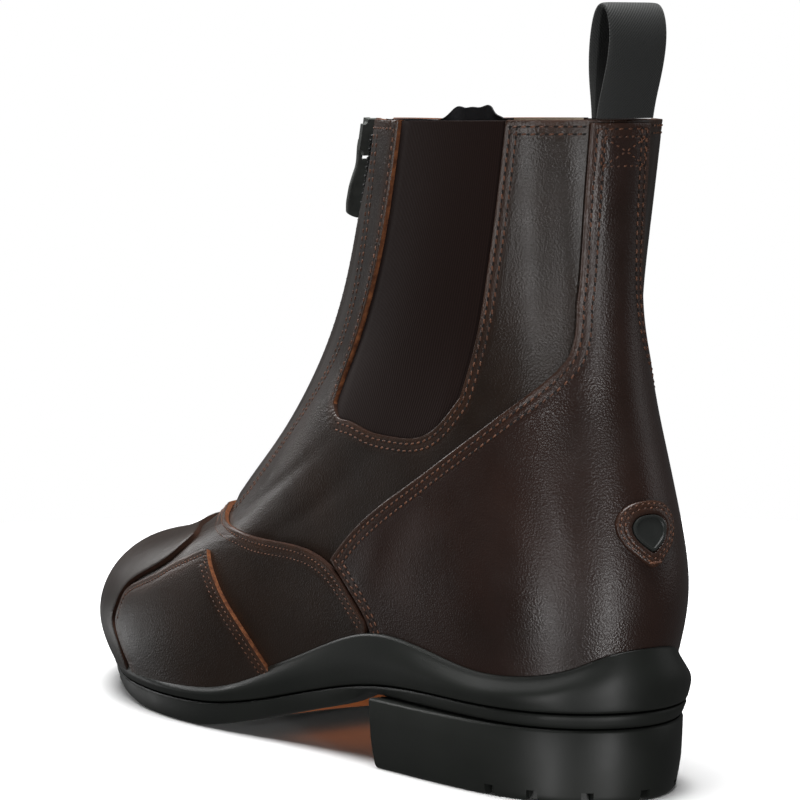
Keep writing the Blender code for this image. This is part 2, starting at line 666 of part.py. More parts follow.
def slider_frame():
    """Axes at the slider in metres: across to the outer side, down the zip and out of the boot."""
    out = Vector(normal(0.5, SLIDER_ROW))
    down = Vector(surface(0.5, SLIDER_ROW - 0.01) - surface(0.5, SLIDER_ROW)).normalized()
    across = out.cross(down).normalized()
    if across.y < 0:
        across = -across
    out = (out - out.dot(down) * down).normalized()
    frame = Matrix((across, down, out)).transposed().to_4x4()
    frame.translation = Vector(surface(0.5, SLIDER_ROW)) * MM
    return frame


def make_slider(parts):
    frame = slider_frame()
    half_across, half_down = SLIDER_HALF
    bm = bmesh.new()
    box(bm, (-half_across, -half_down, SLIDER_PLATE[0]), (half_across, half_down, SLIDER_PLATE[1]), frame)
    edges = [edge for edge in bm.edges if edge.calc_length() < 2 * MM]
    bmesh.ops.bevel(bm, geom=edges, offset=1.6 * MM, segments=3, affect="EDGES")
    plate = finish("zip_slider", bm, METAL, 0.4, parts)
    bm = bmesh.new()
    start, stop = BRIDGE_POSTS[0][0], BRIDGE_POSTS[1][1]
    box(bm, (-BRIDGE_HALF, start, SLIDER_PLATE[1] - 0.5), (BRIDGE_HALF, stop, BRIDGE_TOP[1]), frame)
    return plate, bm, frame


def add_bridge(plate, bm, frame, cutters):
    """Joins the bridge to the slider and opens its eye."""
    bridge = finish("slider_bridge", bm, METAL, 0.4, cutters)
    bridge.hide_render = True
    bridge.display_type = "WIRE"
    joined = plate.modifiers.new("bridge", "BOOLEAN")
    joined.operation = "UNION"
    joined.solver = "EXACT"
    joined.object = bridge
    bm = bmesh.new()
    box(bm, (-5, BRIDGE_POSTS[0][1], SLIDER_PLATE[1] + BRIDGE_PAD), (5, BRIDGE_POSTS[1][0], BRIDGE_TOP[0]), frame)
    cut(plate, finish("slider_eye", bm, METAL, 0.4, cutters))


def make_tab(parts, cutters):
    frame = slider_frame()
    axis = frame @ Vector((0, TAB_AXIS[0] * MM, TAB_AXIS[1] * MM))
    turned = frame.copy()
    turned.translation = (0, 0, 0)
    rings = []
    for down, half in TAB_ROWS:
        twist = TAB_TWIST * float(np.interp(down, TAB_TWIST_ROWS, (0, 1)))
        ring = []
        for side, out in ((-half, -0.5), (half, -0.5), (half, 0.5), (-half, 0.5)):
            rise = out * TAB_THICK
            ring.append((side * math.cos(twist) + rise * math.sin(twist), down,
                         rise * math.cos(twist) - side * math.sin(twist)))
        rings.append(ring)
    bm = bmesh.new()
    prism(bm, rings)
    bmesh.ops.transform(bm, matrix=turned, verts=bm.verts)
    tab = finish("zip_pull_tab", bm, METAL, 0.4, parts)
    tab.location = axis
    half, start, stop = TAB_EYE
    bm = bmesh.new()
    box(bm, (-half, start, -3), (half, stop, 3), turned)
    eye = finish("tab_eye", bm, METAL, 0.4, cutters)
    eye.location = axis
    cut(tab, eye)


def make_loop(parts):
    path = np.array(LOOP_PATH)
    share = np.linspace(0, 1, len(path))
    fine = np.linspace(0, 1, 17)
    line = spline(share, path, fine)
    along = spline(share, path, np.minimum(fine + 1e-3, 1)) - spline(share, path, np.maximum(fine - 1e-3, 0))
    along = along / np.linalg.norm(along, axis=1, keepdims=True)
    out = np.stack([-along[:, 1], along[:, 0]], 1)
    side = np.linspace(-LOOP_HALF, LOOP_HALF, 5)
    grids = []
    for shift in (LOOP_THICK / 2, -LOOP_THICK / 2):
        edge = line + out * shift
        fade = np.clip((LOOP_TOP - edge[:, 1]) / (LOOP_TOP - COLLAR_HEIGHT), 0, 1)
        x = edge[:, :1] + LOOP_BOW * fade[:, None] * side ** 2
        grids.append(np.stack([x, np.broadcast_to(side, x.shape), np.broadcast_to(edge[:, 1:], x.shape)], -1))
    bm = bmesh.new()
    shell(bm, *grids)
    finish("pull_loop", bm, RIBBON, 0.7, parts)


def badge_ring(size):
    """Turn and row around the patch at a share of its size."""
    angle = np.linspace(0, 2 * np.pi, 25)[:-1]
    wide = np.sign(np.cos(angle)) * abs(np.cos(angle)) ** (2 / BADGE_ROUND)
    tall = np.sign(np.sin(angle)) * abs(np.sin(angle)) ** (2 / BADGE_ROUND)
    small = 1e-3
    pace = np.linalg.norm(surface(small, BADGE_ROW) - surface(-small, BADGE_ROW)) / (2 * small)
    climb = np.linalg.norm(surface(0, BADGE_ROW + small) - surface(0, BADGE_ROW - small)) / (2 * small)
    return wide * broken(BADGE_NARROW, tall) * size * BADGE_HALF[0] / pace, BADGE_ROW + tall * size * BADGE_HALF[1] / climb


def make_badge(parts):
    base = COUNTER_TOP + GAP
    grids = []
    for lift in (BADGE_TOP, base):
        grids.append([skin(*badge_ring(size), lift) for size in (BADGE_HOLE, 0.78, 1.0)])
    bm = bmesh.new()
    shell(bm, *grids, closed=True)
    finish("heel_badge", bm, LEATHER, 0.4, parts)
    inner = BADGE_HOLE - 0.05
    rings = [skin(*badge_ring(size), lift) for size, lift in
             ((inner * 0.4, base), (inner, base), (inner, INSET_TOP), (inner * 0.4, INSET_TOP))]
    bm = bmesh.new()
    prism(bm, rings)
    finish("heel_badge_inset", bm, RUBBER, 0.5, parts)


def main():
    for item in list(bpy.data.objects):
        bpy.data.objects.remove(item, do_unlink=True)
    parts = collection("jodhpur_boot")
    cutters = collection("cutters")
    make_upper(parts, cutters)
    make_gussets(parts)
    make_vamp(parts)
    make_counter(parts)
    make_toe_cap(parts)
    make_guards(parts)
    make_sole_cup(parts)
    make_outsole(parts, cutters)
    make_waist_insert(parts)
    make_heel(parts, cutters)
    make_insole(parts)
    make_zip(parts)
    make_zip_guard(parts)
    add_bridge(*make_slider(parts), cutters)
    make_tab(parts, cutters)
    make_loop(parts)
    make_badge(parts)


main()
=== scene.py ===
"""Looks of the front-zip jodhpur boot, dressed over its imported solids.

Shapes are worked out in millimetres in the part's own frame: the toe points along +X, the outer
side of this left boot is +Y and the floor is z = 0. The skin of the upper is a function of a turn
around the foot and a row up from the sole, as in the solids.
"""

import bmesh
import bpy
import math
import numpy as np
from mathutils import Matrix, Vector, geometry, kdtree


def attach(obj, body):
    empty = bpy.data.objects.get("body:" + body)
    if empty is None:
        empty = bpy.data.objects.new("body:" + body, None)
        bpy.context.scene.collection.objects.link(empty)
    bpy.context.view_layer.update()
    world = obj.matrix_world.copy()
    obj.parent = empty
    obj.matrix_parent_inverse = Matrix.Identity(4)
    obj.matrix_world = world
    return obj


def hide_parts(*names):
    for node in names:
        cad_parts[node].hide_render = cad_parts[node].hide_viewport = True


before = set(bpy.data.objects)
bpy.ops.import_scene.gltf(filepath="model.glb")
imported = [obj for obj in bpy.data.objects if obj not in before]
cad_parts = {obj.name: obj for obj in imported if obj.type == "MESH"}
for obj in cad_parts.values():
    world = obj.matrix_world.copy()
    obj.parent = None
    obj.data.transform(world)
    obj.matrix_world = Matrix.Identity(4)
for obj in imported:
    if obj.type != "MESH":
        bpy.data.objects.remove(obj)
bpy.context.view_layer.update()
random = np.random.default_rng(7)

MM = 0.001
LENGTH = 273.8
BALL_WIDTH = 90.0
COLLAR_HEIGHT = 181.0
HEEL_HEIGHT = 20.4
HEEL_BACK = -38.3
HEEL_BREAST = 42.0
WALL = 2.0
TOE_TUCK = 3.0
TUCK_TURN = 0.20
TUCK_FADE = 0.12

RING_COLUMNS = ("name", "back_x", "back_z", "front_x", "front_z", "dip",
                "heel", "hip", "waist", "ball", "toe", "arch")
RINGS = (
    ("feather", 0.0175, 0.1597, 0.9799, 0.0663, 1.00, 0.233, 0.306, 0.333, 0.467, 0.345, 0.82),
    ("bulge", 0.0000, 0.2763, 1.0000, 0.1326, 0.88, 0.261, 0.342, 0.372, 0.500, 0.386, 0.88),
    ("side", 0.0022, 0.3674, 0.9781, 0.1989, 0.72, 0.256, 0.344, 0.378, 0.478, 0.353, 0.94),
    ("vamp_low", 0.0131, 0.4475, 0.9178, 0.2392, 0.52, 0.237, 0.333, 0.372, 0.422, 0.267, 0.97),
    ("vamp_high", 0.0248, 0.5194, 0.8265, 0.2735, 0.35, 0.216, 0.322, 0.361, 0.372, 0.183, 1.00),
    ("instep_low", 0.0367, 0.5967, 0.7352, 0.3646, 0.20, 0.193, 0.309, 0.350, 0.322, 0.139, 1.00),
    ("instep_high", 0.0440, 0.6851, 0.6476, 0.4585, 0.08, 0.171, 0.296, 0.339, 0.294, 0.131, 1.00),
    ("ankle", 0.0450, 0.7734, 0.5672, 0.5773, 0.00, 0.164, 0.296, 0.339, 0.278, 0.117, 1.00),
    ("shaft", 0.0410, 0.8840, 0.4978, 0.7458, 0.00, 0.173, 0.309, 0.356, 0.300, 0.117, 1.00),
    ("collar", 0.0340, 1.0000, 0.4467, 1.0000, 0.00, 0.183, 0.322, 0.372, 0.317, 0.122, 1.00),
)
BULGE_ROW = 1 / (len(RINGS) - 1)
STATIONS = ((0.0, 0.0), (0.075, 0.055), (0.165, 0.22), (0.255, 0.44), (0.345, 0.66),
            (0.435, 0.89), (0.5, 1.0))

# Curves against x: underside of the upper, middle line, rubber rim, groove and tread
BOTTOM = ((-45, 29.0), (0, 28.5), (30, 27.5), (60, 22.5), (90, 15.0), (120, 10.6), (150, 9.4),
          (180, 9.4), (210, 10.6), (240, 13.0))
MIDDLE = ((-45, 0.0), (50, 0.0), (100, -1.5), (140, -5.0), (180, -10.5), (210, -14.5), (240, -16.5))
RIM = ((-44, 42.0), (-37, 41.0), (-31, 37.5), (-23, 34.5), (-12, 33.0), (2, 33.3), (15, 35.4),
       (30, 37.6), (44, 37.8), (58, 34.8), (70, 30.6), (82, 26.0), (96, 20.8), (111, 15.6),
       (128, 13.2), (150, 12.8), (185, 13.2), (215, 14.2), (240, 15.0))
GROOVE = ((-45, 24.8), (0, 24.6), (36, 24.0), (50, 22.4), (60, 20.6), (70, 18.4), (80, 16.0), (92, 13.0),
          (105, 10.2), (119, 8.2), (132, 7.5), (160, 7.2), (200, 7.6), (240, 9.5))
TREAD = ((-45, 21.5), (10, 22.5), (32, 22.5), (46, 20.9), (53, 18.3), (60, 15.6), (69, 13.0), (80, 10.3),
         (92, 7.2), (106, 3.7), (119, 1.1), (130, -0.2), (145, -0.6), (158, -0.1), (175, 1.0), (200, 2.9),
         (220, 4.8), (240, 7.4))

# Panel edges as turn and row of the skin
VAMP_EDGE = ((0.204, 0.098), (0.206, 0.1075), (0.217, 0.1675), (0.232, 0.2325), (0.257, 0.295),
             (0.293, 0.347), (0.313, 0.378), (0.334, 0.409), (0.36, 0.441), (0.389, 0.469), (0.42, 0.489),
             (0.46, 0.503), (0.5, 0.508))
COUNTER_FRONT = ((0.05, 0.1985), (0.1075, 0.2045), (0.1675, 0.2155), (0.24, 0.2295), (1.0, 0.2295))
COUNTER_EDGE = ((0.0, 0.997), (0.075, 0.997), (0.15, 0.997), (0.165, 0.72), (0.185, 0.667), (0.225, 0.635),
                (0.28, 0.61), (0.36, 0.58), (0.45, 0.548), (0.54, 0.513), (0.63, 0.474), (0.72, 0.428),
                (0.81, 0.373), (0.91, 0.301), (1.0, 0.24))
CAP_SPREAD = ((0.05, 0.115), (0.08, 0.115), (0.133, 0.109), (0.16, 0.111), (0.213, 0.117), (0.265, 0.136),
              (0.323, 0.142), (0.37, 0.136), (0.41, 0.108), (0.44, 0.06), (0.462, 0.02))
GUARD_BACK = ((0.04, 0.270), (0.1225, 0.283), (0.1925, 0.298), (0.255, 0.312), (0.318, 0.327))
GUARD_FRONT = ((0.04, 0.379), (0.10, 0.384), (0.133, 0.386), (0.16, 0.384), (0.205, 0.378), (0.235, 0.362),
               (0.272, 0.349), (0.305, 0.336), (0.318, 0.331))
GUSSET_REAR = ((0.5, 0.166), (0.60, 0.158), (0.65, 0.155), (0.725, 0.152), (0.82, 0.149),
               (0.9075, 0.144), (1.0, 0.139))
GUSSET_FORE = ((0.5, 0.29), (0.66, 0.304), (0.72, 0.313), (0.80, 0.312), (0.90, 0.295), (1.0, 0.283))
GUSSET_FOOT = ((0.0, 0.60), (0.06, 0.562), (0.18, 0.534), (0.38, 0.545), (0.61, 0.575),
               (0.80, 0.610), (0.94, 0.638), (1.0, 0.668))
ZIP_END = 0.507

# Soft folds of the leather: place, half spans in millimetres around and up, lean in degrees, height
FOLD_COLUMNS = ("turn", "row", "around", "up", "lean", "height")
FOLDS = (
    (0.062, 0.80, 3.2, 34.0, 3.0, 0.20),
    (0.082, 0.78, 4.0, 36.0, 3.0, -0.22),
    (0.104, 0.76, 5.0, 40.0, 0.0, 0.14),
    (0.060, 0.30, 4.0, 18.0, 24.0, 0.18),
    (0.074, 0.24, 4.2, 16.0, 24.0, -0.18),
    (0.180, 0.30, 9.0, 13.0, -30.0, -0.40),
    (0.200, 0.22, 6.0, 12.0, -30.0, 0.35),
    (0.262, 0.42, 7.0, 22.0, -55.0, -0.35),
    (0.330, 0.50, 5.0, 24.0, -60.0, -0.45),
    (0.415, 1.00, 11.0, 22.0, 0.0, -1.9),
    (0.585, 1.00, 11.0, 22.0, 0.0, -1.9),
    (0.670, 0.50, 5.0, 24.0, 60.0, -0.45),
    (0.738, 0.42, 7.0, 22.0, 55.0, -0.35),
    (0.820, 0.30, 9.0, 13.0, 30.0, -0.40),
    (0.930, 0.78, 3.2, 36.0, -3.0, -0.45),
    (0.905, 0.76, 4.5, 40.0, 0.0, 0.30),
)


def spline(knots, values, at):
    """Natural cubic curve through rows of values, one row for each knot."""
    knots = np.asarray(knots, float)
    values = np.asarray(values, float).reshape(len(knots), -1)
    step = np.diff(knots)
    bend = np.eye(len(knots))
    for i in range(1, len(knots) - 1):
        bend[i, i - 1:i + 2] = step[i - 1], 2 * (step[i - 1] + step[i]), step[i]
    pull = np.zeros_like(values)
    pull[1:-1] = 6 * np.diff(np.diff(values, axis=0) / step[:, None], axis=0)
    curl = np.linalg.solve(bend, pull)
    at = np.asarray(at, float)
    i = np.clip(np.searchsorted(knots, at.ravel()) - 1, 0, len(knots) - 2)
    after = (at.ravel() - knots[i])[:, None]
    span = step[i][:, None]
    before = span - after
    result = (curl[i] * before ** 3 + curl[i + 1] * after ** 3) / (6 * span)
    result += (values[i] / span - curl[i] * span / 6) * before
    result += (values[i + 1] / span - curl[i + 1] * span / 6) * after
    return result.reshape(at.shape + (values.shape[1],))


def curve(table, x):
    """Smooth value of a two-column table, held at its ends."""
    table = np.asarray(table, float)
    return spline(table[:, 0], table[:, 1], np.clip(x, table[0, 0], table[-1, 0]))[..., 0]


def broken(table, x):
    """Value of a two-column table along straight lines."""
    table = np.asarray(table, float)
    return np.interp(x, table[:, 0], table[:, 1])


def ease(value):
    """Soft step from nothing to one."""
    value = np.clip(value, 0, 1)
    return value ** 2 * (3 - 2 * value)


def bulged(wave, power):
    """Wave drawn out towards a square one."""
    return np.sign(wave) * abs(wave) ** power


def smoothed(values, times):
    """Row of values with each one drawn towards its neighbours, ends kept."""
    values = values.copy()
    for _ in range(times):
        values[1:-1] = values[1:-1] * 0.5 + (values[2:] + values[:-2]) * 0.25
    return values


def columns(*values):
    return np.stack(values, 1)


def lengths(points):
    """Distance along a line of points."""
    return np.concatenate([[0], np.cumsum(np.linalg.norm(np.diff(points, axis=0), axis=1))])


RING = {key: np.array([row[i] for row in RINGS]) for i, key in enumerate(RING_COLUMNS) if i}
BACK, FRONT = HEEL_BACK + LENGTH * RING["back_x"], HEEL_BACK + LENGTH * RING["front_x"]
LOW, HIGH = COLLAR_HEIGHT * RING["back_z"], COLLAR_HEIGHT * RING["front_z"]
BACK_BOTTOM, FRONT_BOTTOM = curve(BOTTOM, BACK), curve(BOTTOM, FRONT)
HALF_TURNS = [place[0] for place in STATIONS]
RING_TURNS = np.array(HALF_TURNS + [1 - turn for turn in HALF_TURNS[-2:0:-1]])
SIDES = [BALL_WIDTH * RING[key] for key in ("heel", "hip", "waist", "ball", "toe")]
FAR_SIDES = [-SIDES[4], -SIDES[3], -SIDES[2] * RING["arch"], -SIDES[1], -SIDES[0]]
SHARES = [np.full(1, place[1]) for place in STATIONS]
RING_TABLE = np.concatenate([SHARES + SHARES[-2:0:-1],
                             [0 * LOW, *SIDES, 0 * LOW, *FAR_SIDES]], axis=1)


def ring_points(turn):
    """Points of every ring at the given turns."""
    knots = np.concatenate([RING_TURNS + lap for lap in (-1, 0, 1)])
    around = spline(knots, np.tile(RING_TABLE, (3, 1)), np.asarray(turn, float) % 1.0)
    share, half = around[..., :1], around[..., 1:]
    x = BACK + (FRONT - BACK) * share
    line = BACK_BOTTOM + (FRONT_BOTTOM - BACK_BOTTOM) * share
    z = LOW + (HIGH - LOW) * share + RING["dip"] * (curve(BOTTOM, x) - line)
    return np.stack([x, curve(MIDDLE, x) + half, z], -1)


def surface(turn, row):
    """Outer skin of the upper without its folds."""
    turn, row = np.broadcast_arrays(np.asarray(turn, float), np.asarray(row, float))
    weight = spline(np.linspace(0, 1, len(RINGS)), np.eye(len(RINGS)), row)
    return np.einsum("...r,...rk->...k", weight, ring_points(turn))


def unit(vectors):
    return vectors / np.linalg.norm(vectors, axis=-1, keepdims=True)


def slopes(turn, row):
    """Change of the skin with turn and with row."""
    small = 1e-3
    above, below = np.minimum(row + small, 1), np.maximum(row - small, 0)
    around = (surface(turn + small, row) - surface(turn - small, row)) / (2 * small)
    up = (surface(turn, above) - surface(turn, below)) / (above - below)[..., None]
    return around, up


def normal(turn, row):
    turn, row = np.broadcast_arrays(np.asarray(turn, float), np.asarray(row, float))
    around, up = slopes(turn, row)
    return unit(np.cross(up, around))


FOLD_PLACES = np.array([fold[:2] for fold in FOLDS]).T
FOLD_PACES = [np.linalg.norm(slope, axis=1) for slope in slopes(*FOLD_PLACES)]


def folds(turn, row):
    """Height of the soft folds at places on the skin."""
    turn, row = np.broadcast_arrays(np.asarray(turn, float), np.asarray(row, float))
    total = np.zeros(turn.shape)
    for values, pace_around, pace_up in zip(FOLDS, *FOLD_PACES):
        fold = dict(zip(FOLD_COLUMNS, values))
        across = (turn - fold["turn"]) * pace_around
        along = (row - fold["row"]) * pace_up
        lean = math.radians(fold["lean"])
        x = across * math.cos(lean) - along * math.sin(lean)
        y = across * math.sin(lean) + along * math.cos(lean)
        total += fold["height"] * np.exp(-(x / fold["around"]) ** 2 - (y / fold["up"]) ** 2)
    return total


def skin(turn, row, lift):
    """Skin with its folds, moved out by a lift."""
    turn, row, lift = np.broadcast_arrays(*(np.asarray(v, float) for v in (turn, row, lift)))
    return surface(turn, row) + normal(turn, row) * (lift + folds(turn, row))[..., None]


def row_at(turn, table, above):
    """Row where the skin crosses a height table, moved up by a margin."""
    low = np.zeros_like(turn)
    high = np.full_like(turn, 0.3)
    for _ in range(40):
        middle = (low + high) / 2
        point = surface(turn, middle)
        over = point[..., 2] > curve(table, point[..., 0]) + above
        high = np.where(over, middle, high)
        low = np.where(over, low, middle)
    return (low + high) / 2


def outline(turn, grow):
    """Widest ring of the upper seen from above, grown outwards."""
    point = surface(turn, BULGE_ROW)
    return point[..., :2] + unit(normal(turn, BULGE_ROW)[..., :2]) * np.asarray(grow)[..., None]


def sole_outline(turn, grow):
    """Outline of the sole, which tucks in under the toe."""
    return outline(turn, grow - TOE_TUCK * ease((TUCK_TURN - abs(turn % 1.0 - 0.5)) / TUCK_FADE))


def even_turns(count):
    """Turns that share out the widest ring, closer where it bends."""
    fine = np.linspace(0, 1, 1601)
    steps = np.diff(surface(fine, BULGE_ROW)[:, :2], axis=0)
    heading = np.unwrap(np.arctan2(steps[:, 1], steps[:, 0]))
    pace = np.linalg.norm(steps, axis=1) + 30 * abs(np.gradient(heading))
    length = np.concatenate([[0], np.cumsum(pace)])
    return np.interp(np.arange(count) / count * length[-1], length, fine)


# Materials


class Shader:
    """Small helper that builds one procedural material."""

    def __init__(self, name, colour, roughness, **sockets):
        self.made = bpy.data.materials.new(name)
        self.made.use_nodes = True
        self.tree = self.made.node_tree
        self.main = self.tree.nodes["Principled BSDF"]
        self.main.inputs["Base Color"].default_value = (*colour, 1)
        self.main.inputs["Roughness"].default_value = roughness
        for key, value in sockets.items():
            self.main.inputs[key.replace("_", " ")].default_value = value
        self.where = self.node("ShaderNodeTexCoord").outputs["Object"]

    def node(self, kind, **values):
        made = self.tree.nodes.new(kind)
        for key, value in values.items():
            if hasattr(made, key):
                setattr(made, key, value)
            else:
                made.inputs[key.replace("_", " ")].default_value = value
        return made

    def link(self, out, into):
        self.tree.links.new(out, into)

    def noise(self, scale, detail=3.0, rough=0.5):
        made = self.node("ShaderNodeTexNoise", Scale=scale, Detail=detail, Roughness=rough)
        self.link(self.where, made.inputs["Vector"])
        return made.outputs["Fac"]

    def cells(self, scale):
        made = self.node("ShaderNodeTexVoronoi", Scale=scale)
        self.link(self.where, made.inputs["Vector"])
        return made.outputs["Distance"]

    def span(self, value, low, high, start=0.0, stop=1.0):
        """Value mapped from one range to another, held at its ends."""
        made = self.node("ShaderNodeMapRange")
        for key, number in (("From Min", start), ("From Max", stop), ("To Min", low), ("To Max", high)):
            made.inputs[key].default_value = number
        self.link(value, made.inputs["Value"])
        return made.outputs["Result"]

    def blend(self, share, first, second):
        """Colour between two colours or sockets."""
        made = self.node("ShaderNodeMix", data_type="RGBA")
        self.link(share, made.inputs[0])
        for socket, value in ((made.inputs[6], first), (made.inputs[7], second)):
            if isinstance(value, tuple):
                socket.default_value = (*value, 1)
            else:
                self.link(value, socket)
        return made.outputs[2]

    def sums(self, kind, first, second):
        made = self.node("ShaderNodeMath", operation=kind)
        for socket, value in zip(made.inputs, (first, second)):
            if isinstance(value, (int, float)):
                socket.default_value = value
            else:
                self.link(value, socket)
        return made.outputs[0]

    def colour(self, out):
        self.link(out, self.main.inputs["Base Color"])

    def mottle(self, value, low, high, dark, light):
        """Colour that runs from dark to light as a value crosses a range."""
        self.colour(self.blend(self.span(value, 0, 1, low, high), dark, light))

    def rough(self, scale, low, high):
        """Roughness that wanders between two values."""
        self.link(self.span(self.noise(scale, 3), low, high, 0.3, 0.7), self.main.inputs["Roughness"])

    def ribs(self, value, pitch):
        """Wave from nothing to one across a value in millimetres."""
        wave = self.sums("SINE", self.sums("MULTIPLY", value, 2 * math.pi / pitch), 0)
        return self.span(wave, 0, 1, -1, 1)

    def bump(self, height, strength, distance):
        made = self.node("ShaderNodeBump", Strength=strength, Distance=distance)
        self.link(height, made.inputs["Height"])
        last = self.main.inputs["Normal"].links
        if last:
            self.link(last[0].from_socket, made.inputs["Normal"])
        self.link(made.outputs["Normal"], self.main.inputs["Normal"])

    def attribute(self, name):
        return self.node("ShaderNodeAttribute", attribute_name=name).outputs["Fac"]

    def along(self, axis):
        """One coordinate of the piece's own flat map, in millimetres."""
        split = self.node("ShaderNodeSeparateXYZ")
        self.link(self.node("ShaderNodeUVMap", uv_map="flat").outputs["UV"], split.inputs[0])
        return split.outputs[axis]


def leather(name, dark, light, worn, roughness):
    made = Shader(name, dark, roughness, Specular_IOR_Level=0.42, Coat_Weight=0.10, Coat_Roughness=0.30)
    mottle = made.span(made.noise(26, 4, 0.6), 0, 1, 0.32, 0.70)
    base = made.blend(mottle, dark, light)
    edge = made.span(made.attribute("depth"), 0.80, 0.0, 0.3, 5.0)
    patchy = made.sums("MULTIPLY", edge, made.span(made.noise(90, 3), 0.35, 1.0, 0.35, 0.65))
    made.colour(made.blend(patchy, base, worn))
    made.rough(70, roughness - 0.05, roughness + 0.07)
    made.bump(made.noise(120, 2), 0.03, 0.0006)
    made.bump(made.cells(1800), 0.42, 0.00019)
    made.bump(made.noise(3800, 2), 0.30, 0.00012)
    return made.made


def raw_edge(name, dark, light):
    made = Shader(name, dark, 0.8, Specular_IOR_Level=0.15)
    made.mottle(made.noise(420, 4, 0.7), 0.36, 0.66, dark, light)
    made.bump(made.noise(1500, 3), 0.5, 0.0003)
    return made.made


def rubber(name, dark, light, roughness):
    made = Shader(name, dark, roughness, Specular_IOR_Level=0.36)
    made.mottle(made.noise(34, 4), 0.3, 0.7, dark, light)
    made.rough(50, roughness - 0.05, roughness + 0.08)
    made.bump(made.noise(900, 3), 0.10, 0.00015)
    made.bump(made.noise(90, 2), 0.05, 0.0005)
    return made.made


def elastic(name):
    made = Shader(name, (0.010, 0.0045, 0.004), 0.88, Specular_IOR_Level=0.14, Sheen_Weight=0.03,
                  Sheen_Roughness=0.5)
    rib = made.ribs(made.along(0), 0.85)
    # The ribs' grooves are coloured darker and their crests lighter, with the same wave as their bump:
    # painted shade and painted light.
    made.colour(made.blend(rib, (0.0085, 0.0037, 0.0028), (0.0135, 0.0058, 0.0043)))
    made.bump(rib, 0.3, 0.00018)
    made.bump(made.noise(900, 3), 0.3, 0.0001)
    return made.made


def webbing(name, dark, light, pitch):
    """Woven tape with slanted ribs."""
    made = Shader(name, dark, 0.72, Sheen_Weight=0.15, Sheen_Roughness=0.5)
    rib = made.ribs(made.sums("ADD", made.along(0), made.along(1)), pitch)
    # Colour is darker in the grooves between the ribs and lighter on their crests, with the same wave as the
    # bump: painted shade and painted light.
    made.colour(made.blend(rib, dark, light))
    made.bump(rib, 0.35, 0.00018)
    made.bump(made.ribs(made.along(0), pitch * 0.6), 0.25, 0.0001)
    made.bump(made.noise(1200, 3), 0.3, 0.0001)
    return made.made


def thread(name, dark, light):
    made = Shader(name, dark, 0.55)
    made.mottle(made.noise(260, 3), 0.35, 0.65, dark, light)
    made.bump(made.noise(4200, 2), 0.4, 0.0001)
    return made.made


def painted(name, dark, light, roughness):
    made = Shader(name, dark, roughness, Specular_IOR_Level=0.5)
    made.mottle(made.noise(300, 4), 0.4, 0.7, dark, light)
    made.rough(500, roughness - 0.06, roughness + 0.10)
    made.bump(made.noise(2400, 2), 0.12, 0.0001)
    return made.made


def cloth(name, dark, light):
    made = Shader(name, dark, 0.9)
    made.mottle(made.noise(60, 4), 0.35, 0.65, dark, light)
    made.bump(made.noise(1400, 4), 0.5, 0.0002)
    made.bump(made.cells(1600), 0.2, 0.0001)
    return made.made


# The heel's counter and patch use a lighter copy of the front's leather. This is painted light: it is the
# same leather, shown lighter where the heel is lit more. The front's copy is the darker, shaded one.
BROWN = leather("brown_leather", (0.0110, 0.0062, 0.0038), (0.0185, 0.0096, 0.0058),
                (0.052, 0.0205, 0.0095), 0.35)
LIT_HEEL_BROWN = leather("heel_leather_painted_lighter", (0.0150, 0.0075, 0.0055), (0.0240, 0.0110, 0.0080),
                     (0.048, 0.0195, 0.0100), 0.31)
RAW = raw_edge("raw_leather", (0.060, 0.020, 0.009), (0.185, 0.066, 0.025))
EDGE = raw_edge("dark_edge", (0.020, 0.009, 0.006), (0.045, 0.019, 0.011))
RUBBER = rubber("black_rubber", (0.0085, 0.0098, 0.0085), (0.0125, 0.0140, 0.0120), 0.42)
TREAD_RUBBER = rubber("tread_rubber", (0.0080, 0.0092, 0.0080), (0.0130, 0.0145, 0.0125), 0.48)
INSET = rubber("inset_rubber", (0.014, 0.0155, 0.0145), (0.021, 0.023, 0.0205), 0.40)
ORANGE = rubber("orange_insert", (0.42, 0.10, 0.016), (0.55, 0.15, 0.030), 0.55)
ELASTIC = elastic("ribbed_elastic")
RIBBON = webbing("black_ribbon", (0.0042, 0.0050, 0.0046), (0.0080, 0.0092, 0.0085), 0.9)
TAPE = webbing("zip_tape", (0.010, 0.009, 0.009), (0.018, 0.016, 0.016), 0.7)
COIL = painted("zip_coil", (0.010, 0.010, 0.011), (0.018, 0.018, 0.019), 0.58)
METAL = painted("dark_metal", (0.062, 0.0660, 0.0610), (0.085, 0.0900, 0.0830), 0.50)
THREAD = thread("orange_thread", (0.056, 0.021, 0.010), (0.140, 0.052, 0.023))
# Near-black colour at the needle holes: painted shade, for the shade inside each hole.
HOLE_SHADE = cloth("needle_hole_painted_shade", (0.003, 0.002, 0.0016), (0.006, 0.0036, 0.0028))
LINING = cloth("cream_lining", (0.42, 0.34, 0.25), (0.54, 0.46, 0.35))
GUARD_CLOTH = cloth("guard_cloth", (0.006, 0.006, 0.008), (0.014, 0.014, 0.018))
SOCK = leather("sock_leather", (0.30, 0.23, 0.16), (0.38, 0.30, 0.21), (0.36, 0.27, 0.18), 0.6)


# Making pieces


def add(name, data):
    """Object of a mesh, lamp or camera, put in the scene."""
    made = bpy.data.objects.new(name, data)
    bpy.context.scene.collection.objects.link(made)
    return made


def mesh_of(name, points, faces):
    """Mesh from points in millimetres."""
    mesh = bpy.data.meshes.new(name)
    points = np.asarray(points, float).reshape(-1, 3) * MM
    mesh.from_pydata(points.tolist(), [], [list(map(int, face)) for face in faces])
    return mesh


def point_out(mesh):
    """Points every face of a mesh out."""
    work = bmesh.new()
    work.from_mesh(mesh)
    bmesh.ops.recalc_face_normals(work, faces=work.faces)
    work.to_mesh(mesh)
    work.free()


def paint(made, material):
    made.data.materials.clear()
    made.data.materials.append(material)


